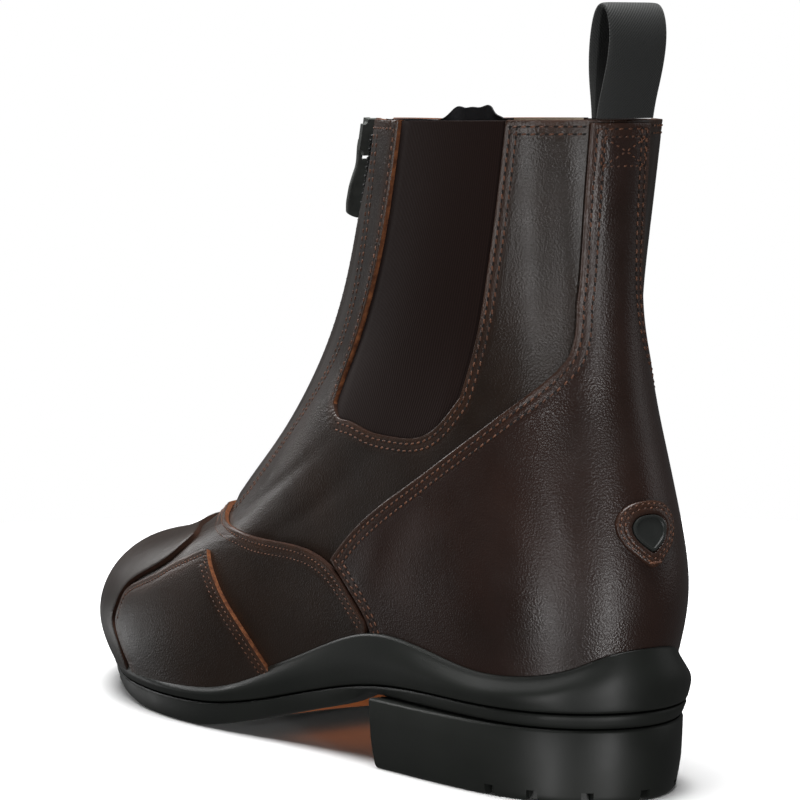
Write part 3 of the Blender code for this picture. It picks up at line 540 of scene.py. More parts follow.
def piece(name, points, faces, materials, chosen=None, nodes=(), slot=None, flat=None, depth=None, angle=40):
    """Piece of the boot from points in millimetres."""
    mesh = mesh_of(name, points, faces)
    for made in materials:
        mesh.materials.append(made)
    if chosen is not None:
        mesh.polygons.foreach_set("material_index", np.asarray(chosen, np.int32))
    if flat is not None:
        layer = mesh.uv_layers.new(name="flat")
        corner = np.zeros(len(mesh.loops), np.int32)
        mesh.loops.foreach_get("vertex_index", corner)
        layer.data.foreach_set("uv", np.asarray(flat, np.float32).reshape(-1, 2)[corner].ravel())
    if depth is not None:
        layer = mesh.attributes.new("depth", "FLOAT", "POINT")
        layer.data.foreach_set("value", np.asarray(depth, np.float32).ravel())
    return dress(add(name, mesh), nodes, "boot", angle)


def dress(made, nodes, body, angle):
    """Smooths a new piece, points its faces out and ties it to the part."""
    point_out(made.data)
    made.data.shade_smooth()
    made.data.set_sharp_from_angle(angle=math.radians(angle))
    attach(made, body)
    if nodes:
        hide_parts(*nodes)
    return made


def grid_faces(rows, around, closed=False, start=0):
    """Four-sided faces over a grid of points, closed around if asked."""
    low, side = np.meshgrid(np.arange(rows - 1), np.arange(around if closed else around - 1), indexing="ij")
    low, after = low * around, (side + 1) % around
    corners = (low + side, low + after, low + around + after, low + around + side)
    return np.stack(corners, -1).reshape(-1, 4) + start


def sheet(name, outer, inner, material, **ties):
    """Sheet with a back of its own, joined to it along the last row."""
    shape = outer.shape[:2]
    count = shape[0] * shape[1]
    rim = np.arange(count).reshape(shape)[-1]
    faces = [grid_faces(*shape), grid_faces(*shape, start=count),
             columns(rim[:-1], rim[1:], rim[1:] + count, rim[:-1] + count)]
    points = np.concatenate([outer.reshape(-1, 3), inner.reshape(-1, 3)])
    piece(name, points, np.concatenate(faces), [material], **ties)


def walk(path, step):
    """Path over the skin with points a step apart."""
    path = np.asarray(path, float)
    fine = np.linspace(0, 1, max(40, len(path) * 6))
    path = np.stack([np.interp(fine, np.linspace(0, 1, len(path)), path[:, k]) for k in (0, 1)], 1)
    length = lengths(surface(*path.T))
    even = np.linspace(0, length[-1], max(2, int(round(length[-1] / step)) + 1))
    return np.stack([np.interp(even, length, path[:, k]) for k in (0, 1)], 1)


def beside(path, depth, side=1):
    """Path moved over the skin to its left as seen in turn and row, or to its right."""
    turn, row = path[:, 0], path[:, 1]
    around, up = slopes(turn, row)
    way = np.gradient(path, axis=0)
    along = unit(around * way[:, :1] + up * way[:, 1:])
    size_a, size_u = np.linalg.norm(around, axis=1, keepdims=True), np.linalg.norm(up, axis=1, keepdims=True)
    left = around / size_a * (-way[:, 1:] * size_u) + up / size_u * (way[:, :1] * size_a)
    left = unit(left - along * np.sum(left * along, 1, keepdims=True)) * depth * side
    aa, au, uu = (np.sum(p * q, 1) for p, q in ((around, around), (around, up), (up, up)))
    al, ul = np.sum(around * left, 1), np.sum(up * left, 1)
    part = aa * uu - au * au
    return path + columns((uu * al - au * ul) / part, (aa * ul - au * al) / part)


def nearest(points):
    tree = kdtree.KDTree(len(points))
    for i, point in enumerate(points):
        tree.insert(point, i)
    tree.balance()
    return tree


FLAT = np.array([420.0, 190.0])
RING_DEPTHS = (0.3, 0.7, 1.2, 1.75, 2.4, 3.1, 3.9, 4.8, 5.8)


def fill(borders, step):
    """Patch of skin inside a closed line of borders (kind, path), finer along the edges that show.

    Gives turn, row, faces, distance to the nearest edge that shows and that edge's number."""
    paths = [walk(path, 0.9 if kind != "hidden" else step) for kind, path in borders]
    loop = np.concatenate([path[:-1] for path in paths])
    area = np.sum(loop[:, 0] * np.roll(loop[:, 1], -1) - np.roll(loop[:, 0], -1) * loop[:, 1])
    side = 1 if area > 0 else -1
    shown = [i for i, (kind, _) in enumerate(borders) if kind != "hidden"]
    edge_points = np.concatenate([surface(*walk(borders[i][1], 0.3).T) for i in shown])
    edge_number = np.concatenate([np.full(len(walk(borders[i][1], 0.3)), i) for i in shown])
    tree = nearest(edge_points)
    rest = nearest(surface(*loop.T))
    extra = []
    for i in shown:
        for depth in RING_DEPTHS:
            ring = beside(walk(borders[i][1], 0.9 + 0.12 * depth), depth, side)
            points = surface(*ring.T)
            extra += [spot for spot, point in zip(ring, points)
                      if tree.find(point)[2] > 0.93 * depth and rest.find(point)[2] > min(0.3, 0.9 * depth)]
    low, high = loop.min(0), loop.max(0)
    rows = np.arange(low[1], high[1], step / FLAT[1])
    turn, row = np.meshgrid(np.linspace(low[0], high[0], 12), rows)
    paces = np.linalg.norm(slopes(turn, row)[0], axis=2).mean(1)
    grid = []
    for number, (row, pace) in enumerate(zip(rows, paces)):
        turns = np.arange(low[0] + (number % 2) * 0.5 * step / pace, high[0], step / pace)
        grid.append(columns(turns, np.full(len(turns), row)))
    grid = np.concatenate(grid)
    extra += [spot for spot, point in zip(grid, surface(*grid.T))
              if tree.find(point)[2] > RING_DEPTHS[-1] + 0.4 * step and rest.find(point)[2] > 0.5 * step]
    spots = np.concatenate([loop, np.array(extra).reshape(-1, 2)]) * FLAT
    edges = [(i, (i + 1) % len(loop)) for i in range(len(loop))]
    verts, _, faces, *_ = geometry.delaunay_2d_cdt([Vector(s) for s in spots], edges, [], 1, 1e-6)
    verts = np.array([tuple(v) for v in verts]) / FLAT
    used = np.unique([i for face in faces for i in face])
    again = np.full(len(verts), -1)
    again[used] = np.arange(len(used))
    faces = [[again[i] for i in face] for face in faces]
    turn, row = verts[used].T
    found = [tree.find(point) for point in surface(turn, row)]
    return turn, row, faces, np.array([f[2] for f in found]), edge_number[[f[1] for f in found]]


def open_edges(faces):
    """Edges that only one face has."""
    count = {}
    for face in faces:
        for a, b in zip(face, face[1:] + face[:1]):
            count.setdefault((min(a, b), max(a, b)), []).append((a, b))
    return [way[0] for way in count.values() if len(way) == 1]


EDGE_RADIUS = 0.42
EDGE_BASE = 0.86
GROOVE_DEPTH = 0.20
GROOVE_WIDTH = 0.55


def panel(name, borders, low, high, materials, step=1.5, grooves=(), raised=None, burnished=True, **ties):
    """Leather panel between two lifts with rounded edges and a trough along each row of stitches."""
    turn, row, faces, depth, near = fill(borders, step)
    share = np.clip(depth / EDGE_RADIUS, 0, 1)
    lift = low + (high - low) * (EDGE_BASE + (1 - EDGE_BASE) * np.sqrt(1 - (1 - share) ** 2))
    names = np.array([kind for kind, _ in borders])[near]
    for kind, depths in grooves:
        for groove in depths:
            lift -= (names == kind) * GROOVE_DEPTH * np.exp(-((depth - groove) / GROOVE_WIDTH) ** 2)
    if raised is not None:
        lift += raised(turn, row)
    points = skin(turn, row, lift)
    kinds = np.array([{"raw": 1, "edge": 2, "hidden": 0}[kind] for kind, _ in borders])
    chosen = [0] * len(faces)
    foot = skin(turn, row, np.full(len(turn), low) + (raised(turn, row) if raised is not None else 0))
    walls, wall_kind = [], []
    for a, b in open_edges(faces):
        if depth[a] < 0.2 and depth[b] < 0.2:
            walls.append([b, a, a + len(turn), b + len(turn)])
            wall_kind.append(kinds[near[a]])
    around = np.linalg.norm(slopes(np.array([0.25]), np.array([0.5]))[0])
    flat = np.stack([turn * around, row * FLAT[1]], 1)
    worn = depth if burnished else depth + 9
    return piece(name, np.concatenate([points, foot]), faces + walls, materials, chosen + wall_kind,
                 flat=np.concatenate([flat, flat]), depth=np.concatenate([worn, worn]), **ties)


SEWN = []
PINHOLE_SHADES = []


COLLAR_MARGIN = 1.4
STITCH_SLANT = (0.18, 0.06)


def sew(path, depth, side, lift, pitch=2.45, clear=None, wide=0.27):
    """Row of stitches beside a path. clear gives lines that the row keeps its depth from."""
    path = walk(path, 0.8)
    row = beside(path, depth, side) if depth else path
    row = row[(1 - row[:, 1]) * np.linalg.norm(slopes(*row.T)[1], axis=1) > COLLAR_MARGIN]
    points = surface(*row.T)
    if clear is not None:
        tree = nearest(np.concatenate([surface(*walk(line, 0.4).T) for line in clear]))
        keep = np.array([tree.find(point)[2] > 0.94 * depth for point in points])
        row = row[keep]
        points = points[keep]
    length = lengths(points)
    count = max(2, int(length[-1] / pitch))
    # Stitch threads, and near-black discs of painted shade at the needle holes between them.
    for spots, into, half in ((np.arange(count) + 0.5, SEWN, pitch * 0.31),
                              (np.arange(count + 1), PINHOLE_SHADES, pitch * 0.25)):
        at = spots * length[-1] / count
        turn, high = (np.interp(at, length, row[:, k]) for k in (0, 1))
        ahead = np.stack([np.interp(at + 0.3, length, row[:, k]) for k in (0, 1)])
        behind = np.stack([np.interp(at - 0.3, length, row[:, k]) for k in (0, 1)])
        lifts = lift(turn, high) if callable(lift) else lift
        centre = skin(turn, high, lifts)
        way = unit(surface(*ahead) - surface(*behind) + 1e-9)
        out = normal(turn, high)
        way = unit(way + np.cross(out, way) * random.normal(*STITCH_SLANT, (len(at), 1)))
        into.append((centre, way, out, np.cross(out, way), np.full(len(at), half), np.full(len(at), wide)))


def sewn_mesh(name):
    """One mesh of every stitch: short threads that dive into the leather at both ends."""
    centre, way, out, side, half, wide = (np.concatenate([s[k] for s in SEWN]) for k in range(6))
    count = len(centre)
    along = np.array([-1.0, -0.72, 0.0, 0.72, 1.0])
    thick = np.array([0.35, 0.85, 1.0, 0.85, 0.35])
    rise = np.array([-0.26, -0.02, 0.06, -0.02, -0.26])
    angle = np.arange(6) / 6 * 2 * np.pi
    along, rise, thick = along[:, None], rise[:, None], thick[:, None] * wide[:, None, None]
    points = (centre[:, None, None] + way[:, None, None] * (along * half[:, None, None])[..., None]
              + out[:, None, None] * (rise + thick * np.sin(angle))[..., None]
              + side[:, None, None] * (thick * np.cos(angle))[..., None])
    one = grid_faces(5, 6, closed=True)
    faces = (one[None] + (np.arange(count) * 30)[:, None, None]).reshape(-1, 4)
    return piece(name, points.reshape(-1, 3), faces, [THREAD], slot="leather", angle=70)


def pinhole_shade_mesh(name):
    """One mesh of dark discs painted as the shade inside the needle holes between stitches."""
    centre, way, out, side, half, wide = (np.concatenate([s[k] for s in PINHOLE_SHADES]) for k in range(6))
    angle = np.arange(7) / 7 * 2 * np.pi
    points = (centre[:, None] + out[:, None] * 0.05
              + way[:, None] * (np.cos(angle) * half[:, None])[..., None]
              + side[:, None] * (np.sin(angle) * wide[:, None] * 1.05)[..., None])
    faces = np.arange(len(centre) * 7).reshape(-1, 7)
    return piece(name, points.reshape(-1, 3), faces, [HOLE_SHADE], slot="leather")


# Upper


def mirrored(path):
    return np.stack([1 - path[:, 0], path[:, 1]], 1)


def window(part):
    """One edge of the elastic's window on the outer side: rear, foot or fore."""
    if part == "foot":
        across = np.linspace(0, 1, 60)
        row = curve(GUSSET_FOOT, across)
        rear, fore = curve(GUSSET_REAR, row), curve(GUSSET_FORE, row)
        return columns(rear + (fore - rear) * across, row)
    table, foot = (GUSSET_REAR, GUSSET_FOOT[0][1]) if part == "rear" else (GUSSET_FORE, GUSSET_FOOT[-1][1])
    row = np.linspace(foot, 1.0, 40)
    return columns(curve(table, row), row)


def ridge_turn(row, across):
    """Turn that lies a distance to the outer side of the front ridge."""
    pace = np.linalg.norm(slopes(np.full(np.shape(row), 0.5), np.asarray(row, float))[0], axis=-1)
    return 0.5 - across / pace


# Stitch rows: depth in from an edge in millimetres, and turn of the facing's row against its row
WINDOW_ROWS = (1.5, 3.5)
FORE_ROW = 1.6
PANEL_ROWS = (1.6, 3.7)
HEEL_ROWS = (1.8, 4.0)
FACING_ROW = ((0.46, 0.392), (0.53, 0.385), (0.60, 0.378), (0.70, 0.366), (0.80, 0.348), (0.90, 0.334),
              (1.0, 0.332))
FINE = {"pitch": 1.65, "wide": 0.2}
SUNK, FINE_SUNK = 0.12, 0.15
SLOT_HALF = 3.0
SLOT_FOOT = ZIP_END + 0.028


def slot_edge():
    """Edge of the zip's opening on the outer side, from the collar to its foot."""
    row = np.linspace(1.0, SLOT_FOOT, 60)
    half = SLOT_HALF * np.sqrt(np.clip((row - SLOT_FOOT) / 0.02, 0, 1))
    return columns(ridge_turn(row, half), row)


def below_collar(row):
    """One up to the slider, fading to nothing at the collar."""
    return ease((0.98 - row) / 0.06)


def over_tape(turn, row):
    """Extra lift that carries the leather over the tapes of the zip."""
    pace = np.linalg.norm(slopes(np.full(np.shape(row), 0.5), row)[0], axis=-1)
    across = abs(turn - 0.5) * pace
    start = np.clip((row - ZIP_END) / 0.02, 0, 1)
    return start * ease((9.5 - across) / 4.0) * below_collar(row)


def line(*spots):
    return np.array(spots, float)


def shaft_borders(low, collar, fore_kind, front):
    """Line around the shaft from a low row, with its own borders for the front of the collar."""
    rear, foot, fore = window("rear"), window("foot"), window("fore")
    back = line((0.0, 1.0), (rear[-1][0], 1.0))
    return [
        ("hidden", line((0, low), (0.25, low), (0.5, low), (0.75, low), (1, low))),
        ("hidden", line((1, low), (1, 1))), (collar, mirrored(back)),
        ("edge", mirrored(rear[::-1])), ("edge", mirrored(foot)), (fore_kind, mirrored(fore)),
        *front, (fore_kind, fore[::-1]), ("edge", foot[::-1]), ("edge", rear), (collar, back[::-1]),
        ("hidden", line((0, 1), (0, low))),
    ]


def make_upper():
    rear, foot, fore, slot = window("rear"), window("foot"), window("fore"), slot_edge()
    top = line((fore[-1][0], 1.0), (slot[0][0], 1.0))
    front = [("raw", path) for path in (mirrored(top), mirrored(slot), slot[::-1], top[::-1])]
    borders = shaft_borders(0.02, "edge", "raw", front)
    panel("upper_leather", borders, -WALL, 0.0, [BROWN, RAW, EDGE], step=1.6, raised=over_tape,
          grooves=(("edge", WINDOW_ROWS), ("raw", (FORE_ROW,))), nodes=["upper"], slot="leather")

    def lifted(turn, row):
        return over_tape(turn, row) - SUNK

    around_window = np.concatenate([rear[::-1], foot[1:], fore[1:]])
    for side, flip in ((1, lambda path: path), (-1, mirrored)):
        clear = [flip(around_window)]
        for depth in WINDOW_ROWS:
            sew(flip(np.concatenate([rear[::-1], foot[1:-6]])), depth, -side, lifted, clear=clear)
        sew(flip(fore), FORE_ROW, -side, lifted, clear=clear)
        sew(flip(slot), 1.2, -side, lifted)
        for shift in (0.0, 0.016):
            rows = np.linspace(0.474, 0.99, 60)
            sew(flip(columns(curve(FACING_ROW, rows) + shift, rows)), 0, 1, 0.02)
        for depth in (1.6, 3.6):
            sew(flip(line((0.052, 1.0), (0.134, 1.0))), depth, -side, -0.10)
        sew(flip(line((fore[-1][0] + 0.012, 1.0), (slot[0][0] - 0.012, 1.0))), 2.4, -side, lifted)


def make_lining():
    end = window("fore")[-1][0]
    front = [("hidden", line((1 - end, 1.0), (0.5, 1.0), (end, 1.0)))]
    turn, row, faces, _, _ = fill(shaft_borders(0.03, "hidden", "edge", front), 3.5)
    piece("lining", skin(turn, row, -WALL - 0.05), faces, [LINING], slot="sock")


def make_gussets():
    across, up = np.meshgrid(np.linspace(0, 1, 60), np.linspace(0, 1, 110))
    inset = 0.15
    foot = curve(GUSSET_FOOT, across) + inset / 190
    row = foot + (1.0 - inset / 200 - foot) * up
    rear, fore = curve(GUSSET_REAR, row) + inset / 290, curve(GUSSET_FORE, row) - inset / 290
    turn = rear + (fore - rear) * across
    pull = -0.25 * np.cos(across * 2 * np.pi) * np.sin(np.pi * up)
    pull -= 0.5 * (1 - np.clip(np.minimum(across, 1 - across) * 9, 0, 1))
    flat = np.stack([across * 52.0, up * 88.0], -1)
    for side in ("lateral", "medial"):
        place = turn if side == "lateral" else 1 - turn
        sheet("elastic_" + side, skin(place, row, -0.8 + pull), skin(place, row, -1.95), ELASTIC,
              nodes=["gusset_" + side], slot="elastic", flat=np.concatenate([flat, flat]))


# Panels sewn over the upper

VAMP_LIFT = (0.3, 2.0)
COUNTER_LIFT = (0.3, 1.6)
GUARD_LIFT = (2.0, 3.5)
CAP_LIFT = (2.0, 3.6)
TWO_ROWS = (("edge", PANEL_ROWS), ("raw", PANEL_ROWS))
UNDER_RIM = -1.5


def tucked(start, stop, count):
    """Lower edge of a panel, tucked in behind the rubber rim."""
    turn = np.linspace(start, stop, count)
    return columns(turn, row_at(turn, RIM, UNDER_RIM))


def make_vamp():
    turn = np.linspace(VAMP_EDGE[0][0], 0.5, 80)
    half = columns(turn, curve(VAMP_EDGE, turn))
    split = 34
    foot = tucked(1 - VAMP_EDGE[0][0], VAMP_EDGE[0][0], 120)
    foot[0], foot[-1] = (1 - half[0][0], foot[0][1]), (half[0][0], foot[-1][1])
    borders = [("hidden", foot), ("edge", np.concatenate([foot[-1:], half[:split]])),
               ("raw", half[split - 1:]), ("raw", mirrored(half[split - 1:])[::-1]),
               ("edge", np.concatenate([mirrored(half[:split])[::-1], foot[:1]]))]
    panel("vamp_leather", borders, *VAMP_LIFT, [BROWN, RAW, EDGE], grooves=TWO_ROWS, nodes=["vamp"],
          slot="leather")
    whole = np.concatenate([half, mirrored(half)[::-1][1:]])
    for depth in PANEL_ROWS:
        sew(whole, depth, -1, VAMP_LIFT[1] - FINE_SUNK, clear=[whole], **FINE)


def counter_side():
    """Edge of the heel panel on the outer side, from the collar down to the rubber."""
    share = np.concatenate([np.linspace(0.15, 0.165, 30), np.linspace(0.165, 1.0, 90)[1:]])
    row = np.concatenate([broken(COUNTER_EDGE, share[:30]), curve(COUNTER_EDGE[3:], share[30:])])
    soft = smoothed(columns(share * curve(COUNTER_FRONT, row), row), 30)
    low = row_at(np.array([soft[-1][0] * 0.9]), RIM, UNDER_RIM)[0]
    ahead = np.linspace(soft[-1][1], low, 12)[1:]
    front = curve(COUNTER_FRONT, ahead)
    return np.concatenate([soft, columns(front, ahead)])


def make_counter():
    side = counter_side()
    foot = tucked(-side[-1][0], side[-1][0], 80)
    foot[0][1] = foot[-1][1] = side[-1][1]
    other = np.stack([-side[:, 0], side[:, 1]], 1)
    side[:, 0] += 0.0115 * np.clip((side[:, 1] - 0.635) / 0.10, 0, 1)
    top = line(side[0], other[0])
    borders = [("hidden", foot), ("edge", side[::-1]), ("edge", top), ("edge", other)]
    panel("counter_leather", borders, *COUNTER_LIFT, [LIT_HEEL_BROWN, RAW, EDGE], grooves=(("edge", HEEL_ROWS),),
          nodes=["counter"], slot="leather")
    lift = COUNTER_LIFT[1] - SUNK
    for depth in HEEL_ROWS:
        sew(side, depth, -1, lift, clear=[side])
        sew(other, depth, 1, lift, clear=[other])
    sew(line((-0.030, 0.989), (0.041, 0.989)), 0, 1, lift)
    box = line((-0.0255, 0.978), (0.0330, 0.978), (0.0330, 0.937), (-0.0255, 0.937))
    for a, b, rise in ((0, 1, 0), (1, 2, 0), (2, 3, 0), (3, 0, 0), (0, 2, 0.05), (1, 3, 0.05)):
        sew(line(box[a], box[b]), 0, 1, lift + rise, pitch=1.9)


def make_toe_cap():
    row = np.linspace(CAP_SPREAD[0][0], CAP_SPREAD[-1][0], 80)
    spread = curve(CAP_SPREAD, row)
    outer = columns(0.5 - spread, row)
    foot = tucked(0.5 + spread[0], 0.5 - spread[0], 60)
    outer[0] = foot[-1]
    inner = mirrored(outer)
    inner[0] = foot[0]
    keep = row > foot[-1][1] + 0.01
    outer, inner = (np.concatenate([path[:1], path[1:][keep[1:]]]) for path in (outer, inner))
    tip = line(outer[-1], (0.5, CAP_SPREAD[-1][0] + 0.004), inner[-1])
    borders = [("hidden", foot), ("edge", outer), ("edge", tip), ("edge", inner[::-1])]
    panel("toe_cap_leather", borders, *CAP_LIFT, [BROWN, RAW, EDGE], burnished=False, nodes=["toe_cap"],
          slot="leather")


def make_guards():
    for side, flip in (("lateral", lambda path: path), ("medial", mirrored)):
        tip = GUARD_BACK[-1][0]
        row = np.linspace(0.04, tip, 60)
        back, front = (columns(curve(table, row), row) for table in (GUARD_BACK, GUARD_FRONT))
        foot = tucked(front[0][0], back[0][0], 40)
        back = np.concatenate([foot[-1:], back[row > foot[-1][1] + 0.01]])
        front = np.concatenate([foot[:1], front[row > foot[0][1] + 0.01]])
        borders = [("hidden", flip(foot)), ("raw", flip(back)), ("edge", flip(line(back[-1], front[-1]))),
                   ("edge", flip(front[::-1]))]
        panel("guard_leather_" + side, borders, *GUARD_LIFT, [BROWN, RAW, EDGE],
              grooves=(("raw", PANEL_ROWS), ("edge", PANEL_ROWS[:1])), nodes=["guard_" + side],
              slot="leather")
        turned = 1 if side == "lateral" else -1
        clear = [flip(back), flip(front)]
        lift = GUARD_LIFT[1] - FINE_SUNK
        for depth in PANEL_ROWS:
            sew(flip(back), depth, -turned, lift, clear=clear, **FINE)
        sew(flip(front[len(front) // 3:]), PANEL_ROWS[0], turned, lift, clear=clear, **FINE)


# Patch on the heel

BADGE_ROW = 0.262
BADGE_HALF = (9.4, 8.8)
BADGE_ROUND = 2.6
BADGE_NARROW = ((-1.0, 0.24), (-0.75, 0.47), (-0.4, 0.74), (0.0, 0.93), (0.35, 1.0), (1.0, 0.98))
BADGE_AROUND = 96

# Size of each ring as a share of the patch, and its lift
BADGE_PROFILE = ((1.0, 1.7), (1.0, 2.35), (0.985, 2.7), (0.955, 2.9), (0.92, 2.98), (0.90, 2.88),
                 (0.87, 3.0), (0.80, 3.02), (0.765, 2.9), (0.74, 3.0), (0.68, 3.05), (0.62, 3.0),
                 (0.585, 2.85), (0.56, 2.5), (0.555, 1.9))
INSET_PROFILE = ((0.555, 1.9), (0.55, 2.75), (0.53, 3.05), (0.49, 3.1), (0.45, 3.0), (0.43, 2.7),
                 (0.40, 2.62), (0.2, 2.62), (0.0, 2.62))


def badge_ring(size):
    angle = np.linspace(0, 2 * np.pi, BADGE_AROUND + 1)[:-1]
    wide = bulged(np.cos(angle), 2 / BADGE_ROUND)
    tall = bulged(np.sin(angle), 2 / BADGE_ROUND)
    around, up = (np.linalg.norm(v) for v in slopes(np.array(0.0), np.array(BADGE_ROW)))
    return np.stack([wide * broken(BADGE_NARROW, tall) * size * BADGE_HALF[0] / around,
                     BADGE_ROW + tall * size * BADGE_HALF[1] / up], 1)


def make_badge():
    points = [skin(*badge_ring(size).T, lift) for size, lift in BADGE_PROFILE]
    depth = np.repeat([(1 - size) * 9 for size, _ in BADGE_PROFILE], BADGE_AROUND)
    faces = grid_faces(len(BADGE_PROFILE), BADGE_AROUND, closed=True)
    chosen = np.where(np.arange(len(faces)) < BADGE_AROUND * 2, 1, 0)
    piece("badge_leather", np.concatenate(points), faces, [LIT_HEEL_BROWN, EDGE], chosen,
          nodes=["heel_badge"], slot="leather", depth=depth)
    for size in (0.895, 0.755):
        ring = badge_ring(size)
        sew(np.concatenate([ring, ring[:1]]), 0, 1, 2.86, pitch=1.75, wide=0.27)
    for shift in np.linspace(-1, 1, 6):
        sew(badge_ring(0.93)[[71, 72]] + (shift * 0.004, 0.004), 0, 1, 2.95, pitch=1.0, wide=0.32)
    points = [skin(*badge_ring(max(size, 0.005)).T, lift) for size, lift in INSET_PROFILE]
    faces = grid_faces(len(INSET_PROFILE), BADGE_AROUND, closed=True)
    piece("badge_inset", np.concatenate(points), faces, [INSET], nodes=["heel_badge_inset"], slot="rubber")


# Sole

CUP_BULGE, CUP_FOOT = 2.6, 1.9
OUTSOLE_TOP, OUTSOLE_SIDE, OUTSOLE_FOOT = 0.6, 1.4, -0.6
AROUND = 320
INSERT_INNER = 0.8
CUT_HALF = 2.0
CUT_DEPTH = 1.8
CUT_MARGIN = 11.0
FOREFOOT_CUTS = (104, 120, 136, 152, 168, 184, 200)
CUT_SLANT = math.radians(9)
HEEL_CUTS = (-18, 14)
HEEL_NOTCHES = (-78, -52, -26, 0, 26, 52, 78)
NOTCH_REACH = (37, 31)

# Rings of the heel from its top: height and growth past the upper's widest ring
HEEL_SHAPE = ((20.05, -0.3), (19.75, 0.1), (19.25, 0.3), (14.0, 0.1), (9.0, -0.2), (5.0, -0.8), (2.0, -1.35),
              (1.0, -1.6), (0.35, -2.0), (0.0, -2.4))
HEEL_FLARE = 0.11
BREAST_HOLLOW = 4.0


def flat_to(points, table, above):
    points = points.copy()
    points[..., 2] = curve(table, points[..., 0]) + above
    return points


def level(xy, height):
    return np.concatenate([xy, np.broadcast_to(height, xy.shape[:-1])[..., None]], -1)


def tread(x):
    return np.clip(curve(TREAD, x), 0.0, HEEL_HEIGHT)


def make_sole_cup():
    turn = even_turns(AROUND)
    rim = row_at(turn, RIM, 0.0)
    lip = [flat_to(skin(turn, rim, lift), RIM, above) for lift, above in
           ((0.35, -2.5), (0.4, -0.5), (0.7, 0.0), (1.3, 0.12), (2.0, 0.0), (2.45, -0.3), (2.62, -0.9))]
    bulge = level(sole_outline(turn, CUP_BULGE), 0.0)
    bulge[:, 2] = 0.5 * (curve(RIM, bulge[:, 0]) + curve(GROOVE, bulge[:, 0]))
    foot = flat_to(level(sole_outline(turn, CUP_FOOT), 0.0), GROOVE, 1.0)
    side = spline((0, 0.5, 1), np.stack([lip[-1], bulge, foot]).reshape(3, -1), np.linspace(0, 1, 12)[1:])
    under = [flat_to(level(sole_outline(turn, grow), 0.0), GROOVE, above) for grow, above in
             ((1.7, 0.55), (1.3, 0.2), (0.6, 0.02), (-2.0, 0.0))]
    rings = lip + list(side.reshape(-1, AROUND, 3)) + under
    piece("sole_band", np.concatenate(rings), grid_faces(len(rings), AROUND, closed=True), [RUBBER],
          nodes=["sole_cup"], slot="rubber", angle=60)


def solid(name, rings, caps):
    """Closed mesh from a stack of rings, ends crossed from side to side or many-sided."""
    count = len(rings[0])
    faces = [list(f) for f in grid_faces(len(rings), count, closed=True)]
    for start in (0, (len(rings) - 1) * count):
        if caps == "crossed":
            half = count // 2
            faces.append([start, start + 1, start + count - 1])
            faces += [[start + i, start + i + 1, start + count - i - 1, start + count - i]
                      for i in range(1, half - 1)]
            faces.append([start + half - 1, start + half, start + half + 1])
        else:
            faces.append(list(range(start, start + count)))
    mesh = mesh_of(name, np.concatenate(rings), faces)
    point_out(mesh)
    return add(name, mesh)


def block(work, low, high, turned=None):
    """Box between two corners in millimetres."""
    made = bmesh.ops.create_cube(work, size=1.0)["verts"]
    size = [(b - a) * MM for a, b in zip(low, high)]
    move = Matrix.Translation([(a + b) / 2 * MM for a, b in zip(low, high)]) @ Matrix.Diagonal(size + [1.0])
    bmesh.ops.transform(work, matrix=(turned or Matrix()) @ move, verts=made)


def carve(target, work):
    """Cuts the work's boxes out of a mesh for good."""
    mesh = bpy.data.meshes.new("cutter")
    work.to_mesh(mesh)
    work.free()
    cutter = add("cutter", mesh)
    taken = target.modifiers.new("cut", "BOOLEAN")
    taken.operation = "DIFFERENCE"
    taken.solver = "EXACT"
    taken.object = cutter
    seen = bpy.context.evaluated_depsgraph_get()
    target.data = bpy.data.meshes.new_from_object(target.evaluated_get(seen))
    target.modifiers.clear()
    bpy.data.objects.remove(cutter)


def half_width(x):
    turn = np.linspace(0.02, 0.48, 200)
    edge = outline(turn, 0.0)
    return float(np.interp(x, edge[:, 0], edge[:, 1] - curve(MIDDLE, edge[:, 0])))


def waist(x, margin):
    """Inner side, middle, outer side and tread height at a place under the waist."""
    half, middle = half_width(x) - margin, float(curve(MIDDLE, x))
    return middle - half * INSERT_INNER, middle, middle + half, float(tread(x))


def tread_ring(turn, grow, above):
    ring = level(sole_outline(turn, grow), 0.0)
    ring[:, 2] = tread(ring[:, 0]) + above
    return ring


def make_outsole():
    turn = even_turns(200)
    rings = [flat_to(level(sole_outline(turn, grow), 0.0), GROOVE, above) for grow, above in
             ((OUTSOLE_TOP, -0.35), (OUTSOLE_TOP + 0.5, -0.45), (OUTSOLE_SIDE - 0.1, -0.7),
              (OUTSOLE_SIDE, -1.1))]
    low = tread_ring(turn, OUTSOLE_FOOT + 1.3, 1.3)
    rings += [rings[-1] + (low - rings[-1]) * share for share in (0.5, 1.0)]
    rings += [tread_ring(turn, OUTSOLE_FOOT + grow, above)
              for grow, above in ((0.9, 0.6), (0.4, 0.18), (0.0, 0.0))]
    made = solid("outsole_tread", rings, "crossed")
    work = bmesh.new()
    for x in FOREFOOT_CUTS:
        half = half_width(x) - CUT_MARGIN
        moved = Matrix.Translation((x * MM, float(curve(MIDDLE, x)) * MM, 0))
        turned = moved @ Matrix.Rotation(CUT_SLANT, 4, "Z")
        block(work, (-CUT_HALF, -half, -5), (CUT_HALF, half, float(tread(x)) + CUT_DEPTH), turned)
    rows = []
    for x in np.linspace(44.7, 94.3, 9):
        inner, _, outer, base = waist(x, 7.7)
        low, high = base - 4, base + 1.6
        rows.append([(x, inner, low), (x, outer, low), (x, outer, high), (x, inner, high)])
    corners = [[work.verts.new(Vector(p) * MM) for p in row] for row in rows]
    for a, b in zip(corners, corners[1:]):
        for i in range(4):
            work.faces.new((a[i], a[(i + 1) % 4], b[(i + 1) % 4], b[i]))
    for end in (corners[0], corners[-1]):
        work.faces.new(end)
    bmesh.ops.recalc_face_normals(work, faces=work.faces)
    carve(made, work)
    paint(made, TREAD_RUBBER)
    dress(made, ["outsole"], "boot", 35)


